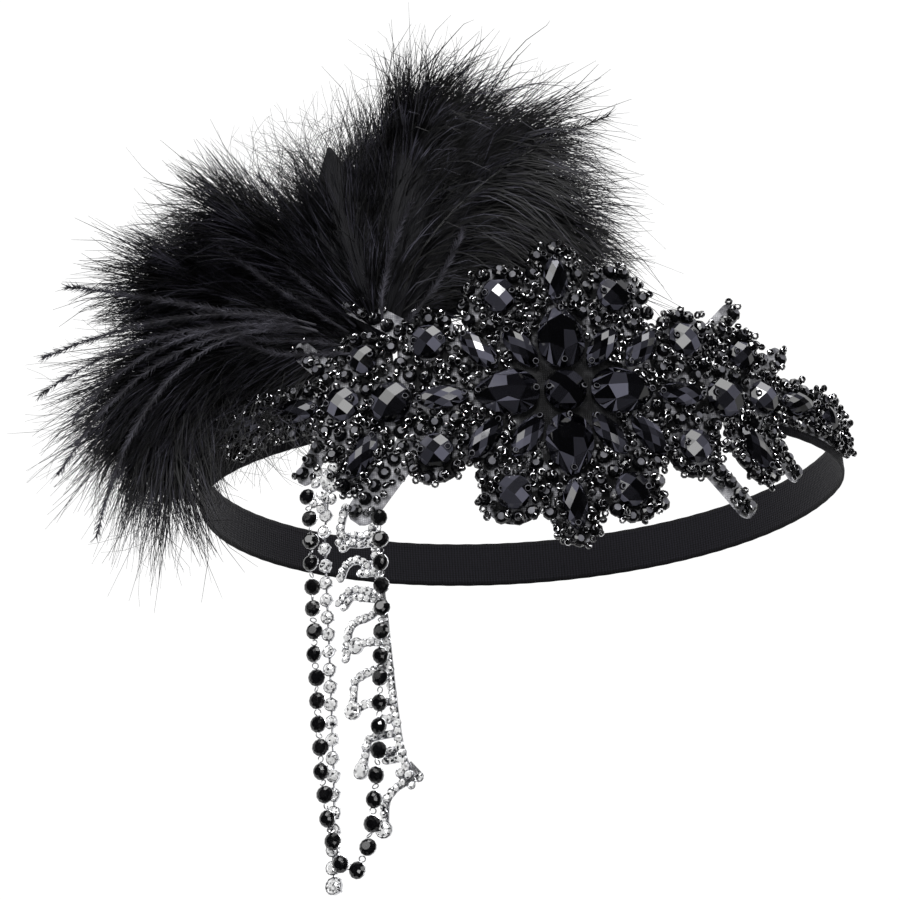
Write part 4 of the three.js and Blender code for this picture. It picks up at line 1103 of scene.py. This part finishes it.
HAIRS_PER_STRAY = 60


def plume_place(length, heading, out):
    """A place in the plume's frame: a length along a heading in its plane, and a distance out of it."""
    angle = math.radians(heading)
    return np.array([math.cos(angle) * length, math.sin(angle) * length, out]) * PLUME_REACH


def flow_line(lock, wobble=(0, 0, 0, 0)):
    """A feather's middle line: a quadratic curve from the knot by its bend to its tip, run on straight
    past the tip. Gives points, arc lengths, side axes, depth axes and the length to the tip."""
    bend, bend_reach, tip, reach, bend_out, tip_out, _ = lock
    middle = plume_place(bend_reach, bend + wobble[0], bend_out + wobble[1])
    end = plume_place(reach, tip + wobble[2], tip_out + wobble[3])
    t = np.linspace(0, 1.25, FLOW_STATIONS)[:, None]
    run = np.minimum(t, 1)
    over = t - run
    points = 2 * run * (1 - run) * middle + run ** 2 * end + 2 * over * (end - middle)
    way = np.gradient(points, axis=0)
    way /= np.linalg.norm(way, axis=1, keepdims=True)
    arc = np.concatenate([[0], np.cumsum(np.linalg.norm(np.diff(points, axis=0), axis=1))])
    aside = np.stack([-way[:, 1], way[:, 0], np.zeros(len(way))], -1)
    aside /= np.linalg.norm(aside, axis=1, keepdims=True)
    return points, arc, aside, np.cross(way, aside), arc[np.argmin(np.abs(t[:, 0] - 1))]


def along_flow(flow, way, aside, depth):
    """Places beside a flow line: its point at an arc length, plus aside and depth on its axes there."""
    points, arc, side_axis, depth_axis, _ = flow

    def read(table):
        return np.stack([np.interp(way, arc, table[:, k]) for k in range(3)], -1)

    return read(points) + aside[..., None] * read(side_axis) + depth[..., None] * read(depth_axis)


def barbs(flow, wide, count, layer, trim, sag):
    """Barbs of one feather: each leaves the shaft at an angle that closes towards its tip, so it sweeps
    forward and aside, waves a little, leaves the feather's plane and sags under its weight. Neighbours
    lean together into tufts: each is drawn towards the first of its group by a power of the way along.
    Trim is the share of the feather's length that they reach, sag how far their tips hang."""
    length = flow[4]
    share = np.linspace(0, 1, 5)[None]
    end = length * trim * (0.34 + 0.67 * rng.beta(2.2, 1.0, count)) * rng.normal(1, 0.04, count)
    stray = rng.random(count) < 0.07
    end = np.where(stray, end * rng.uniform(1.03, 1.13, count), end)
    reach = np.minimum(PLUME_REACH * rng.uniform(0.28, 0.48, count), 0.85 * end)
    spread = np.radians(rng.triangular(0, 18, 40, count)) * wide * np.clip(1.75 - end / length, 0.6, 1.1)
    side = rng.choice([-1.0, 1.0], count)
    curl = rng.normal(0.1, 0.25, count)[:, None]
    step = np.diff(share, axis=1)
    angle = spread[:, None] * (1.3 - 0.85 * share[:, 1:]) + curl * share[:, 1:] ** 3
    start = np.zeros((count, 1))
    forward = np.concatenate([start, np.cumsum(np.cos(angle) * step, 1)], 1)
    aside = np.concatenate([start, np.cumsum(np.sin(angle) * step, 1)], 1) * reach[:, None]
    root = end - forward[:, -1] * reach
    aside = side[:, None] * aside + rng.normal(0, 1.8, count)[:, None] * np.sin(2.4 * share)
    lift = rng.normal(0, 5.0, count)[:, None] * share ** 0.7 + 3.0 * layer
    lift = lift + rng.normal(0, 1.3, count)[:, None] * np.sin(5 * share)
    paths = along_flow(flow, root[:, None] + forward * reach[:, None], aside, lift)
    paths[..., 1] -= rng.uniform(0.1, 1, count)[:, None] * sag * share ** 2
    order = np.lexsort((end, np.round(np.degrees(spread) * side / 6)))
    leader = order[(np.arange(count) // 8) * 8]
    pull = (0.75 * share ** 1.4)[..., None] * rng.uniform(0.2, 1, count)[:, None, None]
    near = np.linalg.norm(paths[order] - paths[leader], axis=-1)[:, -1:, None] < 13
    paths = paths[order] + np.where(near, pull, 0) * (paths[leader] - paths[order])
    width = rng.uniform(0.13, 0.25, count)[:, None] * (1 - 0.78 * share ** 1.5)
    return paths, width


def barb_habit(heading):
    """The share of a feather's length that its barbs reach, and the sag of their tips in mm: the
    feathers at the right droop most, and those at the lower left and beside the top are short."""
    if heading > 170:
        return 0.9, 8.0
    if heading > 120:
        return 1.02, 8.0
    if heading > 95:
        return 0.84, 8.0
    if heading > 80 or heading < 25:
        return 0.95, 8.0
    return 1.02, 22.0


def loose_hairs(flow, count):
    """Loose hairs past a feather's edge: their heading wanders from station to station, so they curl."""
    length = flow[4]
    reach = rng.uniform(14, 30, count)
    root = length * rng.uniform(0.76, 1.0, count) - 0.85 * reach
    first = np.radians(rng.uniform(-42, 42, count))[:, None]
    turns = np.cumsum(rng.normal(0, 0.2, (count, 7)) + rng.normal(0, 0.14, (count, 1)), 1)
    start = np.zeros((count, 1))
    forward = np.concatenate([start, np.cumsum(np.cos(first + turns), 1)], 1) / 7 * reach[:, None]
    aside = np.concatenate([start, np.cumsum(np.sin(first + turns), 1)], 1) / 7 * reach[:, None]
    lift = rng.normal(0, 4, (count, 1)) * np.linspace(0, 1, 8)[None]
    aside = aside + rng.uniform(-6, 6, (count, 1))
    paths = along_flow(flow, root[:, None] + forward, aside, lift)
    return paths, np.linspace(0.09, 0.035, 8)[None] * np.ones((count, 1))


def down(flow, count, first, last, reach_mm):
    """Short grey down on a shaft between two shares of its length, at wide angles."""
    length = flow[4]
    root = length * rng.uniform(first, last, count)
    side = rng.choice([-1.0, 1.0], count)
    reach = reach_mm * rng.uniform(0.5, 1.3, count)
    share = np.array([0, 0.5, 1.0])[None]
    angle = rng.uniform(0.2, 0.75, count)[:, None]
    forward = share * reach[:, None] * np.cos(angle)
    aside = share * reach[:, None] * np.sin(angle) * side[:, None]
    lift = rng.normal(0, 0.6, count)[:, None] * share + 0.3
    paths = along_flow(flow, root[:, None] + forward, aside, lift)
    return paths, 0.13 * (1 - 0.75 * share) * np.ones((count, 1))


def raised(flow, height):
    """The same flow line moved out towards the viewer, by a height that grows from the knot."""
    points, arc, aside, depth_axis, length = flow
    rise = height * np.minimum(arc / (0.3 * length), 1)[:, None]
    return points + depth_axis * rise, arc, aside, depth_axis, length


def feather_body(flow, wide, layer):
    """The dense middle of a feather: an oval section carried along its flow line. It widens as a sine,
    closes as a parabola, and ridges along it are sums of sines round the section."""
    length = flow[4]
    share = np.linspace(0.03, 0.78, 30)[:, None]
    turn = (2 * np.pi * np.arange(28) / 28)[None]
    swell = np.sin(np.pi / 2 * np.minimum(share / 0.5, 1)) ** 0.8
    close = np.clip(1 - np.clip((share - 0.35) / 0.44, 0, 1) ** 2, 0.03, 1)
    ridge = 1 + 0.1 * np.sin(7 * turn + 9 * share) + 0.07 * np.sin(13 * turn - 14 * share + layer)
    half = 10.5 * wide * swell * close * ridge
    deep = 4.3 * swell * close * ridge
    paths = along_flow(flow, np.broadcast_to(share * length, half.shape), half * np.cos(turn),
                       deep * np.sin(turn) + 1.5 * layer)
    uv = np.stack(np.broadcast_arrays(share * length, turn * 8), -1).reshape(-1, 2) * MM
    ends = np.stack([np.arange(28)[::-1], 29 * 28 + np.arange(28)])
    return paths.reshape(-1, 3), grid_faces(30, 28), ends, uv


def bare_shaft(flow, first, root_radius, tip_radius):
    """A feather's bare shaft: a tapering tube on its flow line, from a share of its length to its tip."""
    stations = np.linspace(first, 1.0, 18)[None] * flow[4]
    zero = np.zeros_like(stations)
    return along_flow(flow, stations, zero, zero), np.linspace(root_radius, tip_radius, 18)[None]


def plume():
    """Two feathers for each lock of the CAD plume, one in front of the other: dense bodies, four
    pieces of barbs, shafts and down, all bound at the knot."""
    facing = band_axes(-40.0)
    seat = on_band(-50.0, 18 - BACKING_DROP, BACKING_BACK - 0.3 - 3.0)
    groups = [[] for _ in range(4)]
    bodies, hairs, downs, shafts = [], [], [], []

    for k, lock in enumerate(LOCKS):
        for layer in (-1, 1):
            wobble = (rng.normal(0, 2.5), 0.02 * layer, rng.normal(0, 4), rng.normal(0, 0.03))
            flow = flow_line(lock, wobble)
            trim, sag = barb_habit(lock[2])
            parts = barbs(flow, lock[6], BARBS_PER_FEATHER, layer, trim, sag)
            groups[(2 * k + (layer > 0)) % 4].append(parts)
            bodies.append(feather_body(flow, lock[6], layer))
            hairs.append(loose_hairs(flow, HAIRS_PER_FEATHER))
    for stray in STRAYS:
        hairs.append(loose_hairs(flow_line(stray), HAIRS_PER_STRAY))
    for shaft in SHAFTS:
        flow = raised(flow_line(shaft), 9.0)
        shafts.append(bare_shaft(flow, 0.15, 0.42, 0.12))
        downs.append(down(flow, 420, 0.2, 0.97, 2.0))
    for tail in FURRY_TAILS:
        flow = raised(flow_line(tail), 9.0)
        shafts.append(bare_shaft(flow, 0.2, 0.36, 0.12))
        downs.append(down(flow, 620, 0.25, 1.0, 2.2))
    spike = raised(flow_line(SPIKE), 8.0)
    spike_barbs = down(spike, 260, 0.35, 1.0, 4.0)

    def build(name, parts, sides, material):
        paths = np.concatenate([paths for paths, _ in parts])
        widths = np.concatenate([widths for _, widths in parts])
        out = paths[..., 2]
        paths[..., 2] = np.where(out > 0, PLUME_FRONT * np.tanh(out / PLUME_FRONT), out)
        points, faces = tubes(seat + paths @ facing, widths, sides)
        piece = make_mesh(name, points, faces)
        # Each hair's random share for the painted pale highlight of the feather materials.
        tone = piece.data.attributes.new("hair_painted_highlight", "FLOAT", "POINT")
        tone.data.foreach_set("value", np.repeat(rng.random(len(paths)), len(points) // len(paths)))
        dress(piece, [material])

    for letter, parts in zip("abcd", groups):
        build(f"plume_barbs_{letter}", parts, 3, barb_black)
    build("plume_hairs", hairs, 3, barb_black)
    build("plume_down", downs, 3, down_grey)
    build("plume_shafts", shafts, 6, shaft_grey)
    build("plume_spike", [bare_shaft(spike, 0.1, 0.6, 0.2)], 6, barb_black)
    build("plume_spike_barbs", [spike_barbs], 3, barb_black)
    size = len(bodies[0][0])
    points = np.concatenate([body[0] for body in bodies])
    sides = np.concatenate([body[1] + k * size for k, body in enumerate(bodies)])
    ends = np.concatenate([body[2] + k * size for k, body in enumerate(bodies)])
    uv = np.concatenate([body[3] for body in bodies])
    piece = make_mesh("plume_bodies", seat + points @ facing, [sides, ends], uv=uv, smooth=True)
    dress(piece, [barb_core], ["plume"])
    turn = np.linspace(0, 2 * np.pi * 7, 200)
    wrap = np.stack([5.2 * np.cos(turn), 5.2 * np.sin(turn), np.linspace(-1.6, 1.6, 200)], -1)
    points, faces = tubes((seat + wrap @ facing)[None], np.full((1, 200), 0.5), 6)
    dress(make_mesh("plume_binding", points, faces), [barb_black])


# Build

stones = stone_places()
drop_origin, drop_axes = drop_frame()
elastic_loop()
sewn_stones(stones)
backing, cut_area = organza_pieces()
chaton_places, bead_places = scatter_small_stones()
small_stones(chaton_places, bead_places)
sewing_beads()
jet_string()
cup_string()
cluster()
scroll_branch()
plume()


# Studio

def studio():
    """A pale floor, a white room behind and a dim one in front, and soft boxes. The floor is left out of
    the reflections, as a black card below the stones would do."""
    bpy.ops.mesh.primitive_plane_add(size=6, location=(0, 0, -0.62))
    floor = bpy.context.object
    floor.name = "studio_floor"
    material, _, shader = new_material("matt_floor_paint", {"Roughness": 0.9})
    shader.inputs["Base Color"].default_value = colour("#ececec")
    floor.data.materials.append(material)
    floor.visible_glossy = False
    bpy.ops.mesh.primitive_uv_sphere_add(segments=64, ring_count=32, radius=2.6)
    backdrop = bpy.context.object
    backdrop.name = "studio_backdrop"
    material, _, _ = new_material("white_backdrop", {"Base Color": (0, 0, 0, 1), "Roughness": 1.0,
                                                     "Emission Color": (1, 1, 1, 1),
                                                     "Emission Strength": 1.05})
    backdrop.data.materials.append(material)
    for ray in ("diffuse", "glossy", "transmission", "shadow", "volume_scatter"):
        setattr(backdrop, f"visible_{ray}", False)
    bpy.context.scene.view_settings.view_transform = "Standard"
    world = bpy.data.worlds.new("studio_room")
    bpy.context.scene.world = world
    world.use_nodes = True
    tree = world.node_tree
    place = add_node(tree, "ShaderNodeTexCoord")
    split = add_node(tree, "ShaderNodeSeparateXYZ", links={0: place.outputs["Generated"]})
    tones = add_node(tree, "ShaderNodeValToRGB", links={0: split.outputs["Y"]})
    tones.color_ramp.elements[0].position = 0.0
    tones.color_ramp.elements[0].color = (0.035, 0.035, 0.037, 1)
    tones.color_ramp.elements[1].position = 0.3
    tones.color_ramp.elements[1].color = (1, 1, 1, 1)
    tree.links.new(tones.outputs["Color"], tree.nodes["Background"].inputs["Color"])
    tree.nodes["Background"].inputs["Strength"].default_value = 1.0
    boxes = (("key_box", (-0.85, -0.95, 0.8), 0.8, 12), ("top_box", (0.2, -0.35, 1.3), 0.9, 17),
             ("spark_box", (-0.2, -1.35, 0.6), 0.22, 7), ("side_box", (1.2, -0.7, 0.25), 0.4, 2.5),
             ("low_box", (-0.1, -1.25, -0.5), 0.3, 2.5))
    for name, place, size, power in boxes:
        light = bpy.data.lights.new(name, "AREA")
        light.shape = "SQUARE"
        light.size = size
        light.energy = power
        lamp = bpy.data.objects.new(name, light)
        bpy.context.scene.collection.objects.link(lamp)
        back = np.array(place) / np.linalg.norm(place)
        right = np.cross([0, 0, 1], back)
        right /= np.linalg.norm(right)
        lamp.matrix_world = Matrix([[right[k], np.cross(back, right)[k], back[k], place[k]] for k in range(3)]
                                   + [[0, 0, 0, 1]])


CAMERA_AZIMUTH = -10.31
CAMERA_ELEVATION = -19.42
CAMERA_ROLL = -4.65
CAMERA_DISTANCE = 0.7


def camera():
    """The photograph's view: the camera looks at the origin from an azimuth and elevation, rolled."""
    azimuth, elevation = math.radians(CAMERA_AZIMUTH), math.radians(CAMERA_ELEVATION)
    back = np.array([math.sin(azimuth) * math.cos(elevation), -math.cos(azimuth) * math.cos(elevation),
                     math.sin(elevation)])
    right = np.cross(-back, [0, 0, 1])
    right /= np.linalg.norm(right)
    up = np.cross(right, -back)
    roll = math.radians(CAMERA_ROLL)
    rolled_right = math.cos(roll) * right + math.sin(roll) * up
    rolled_up = -math.sin(roll) * right + math.cos(roll) * up
    data = bpy.data.cameras.new("camera")
    data.lens = 90.79
    data.sensor_width = 36
    data.shift_x = -0.0834
    data.shift_y = 0.0268
    data.clip_start = 0.01
    holder = bpy.data.objects.new("camera", data)
    bpy.context.scene.collection.objects.link(holder)
    place = back * CAMERA_DISTANCE
    holder.matrix_world = Matrix([[rolled_right[k], rolled_up[k], back[k], place[k]] for k in range(3)]
                                 + [[0, 0, 0, 1]])
    bpy.context.scene.camera = holder


studio()
camera()
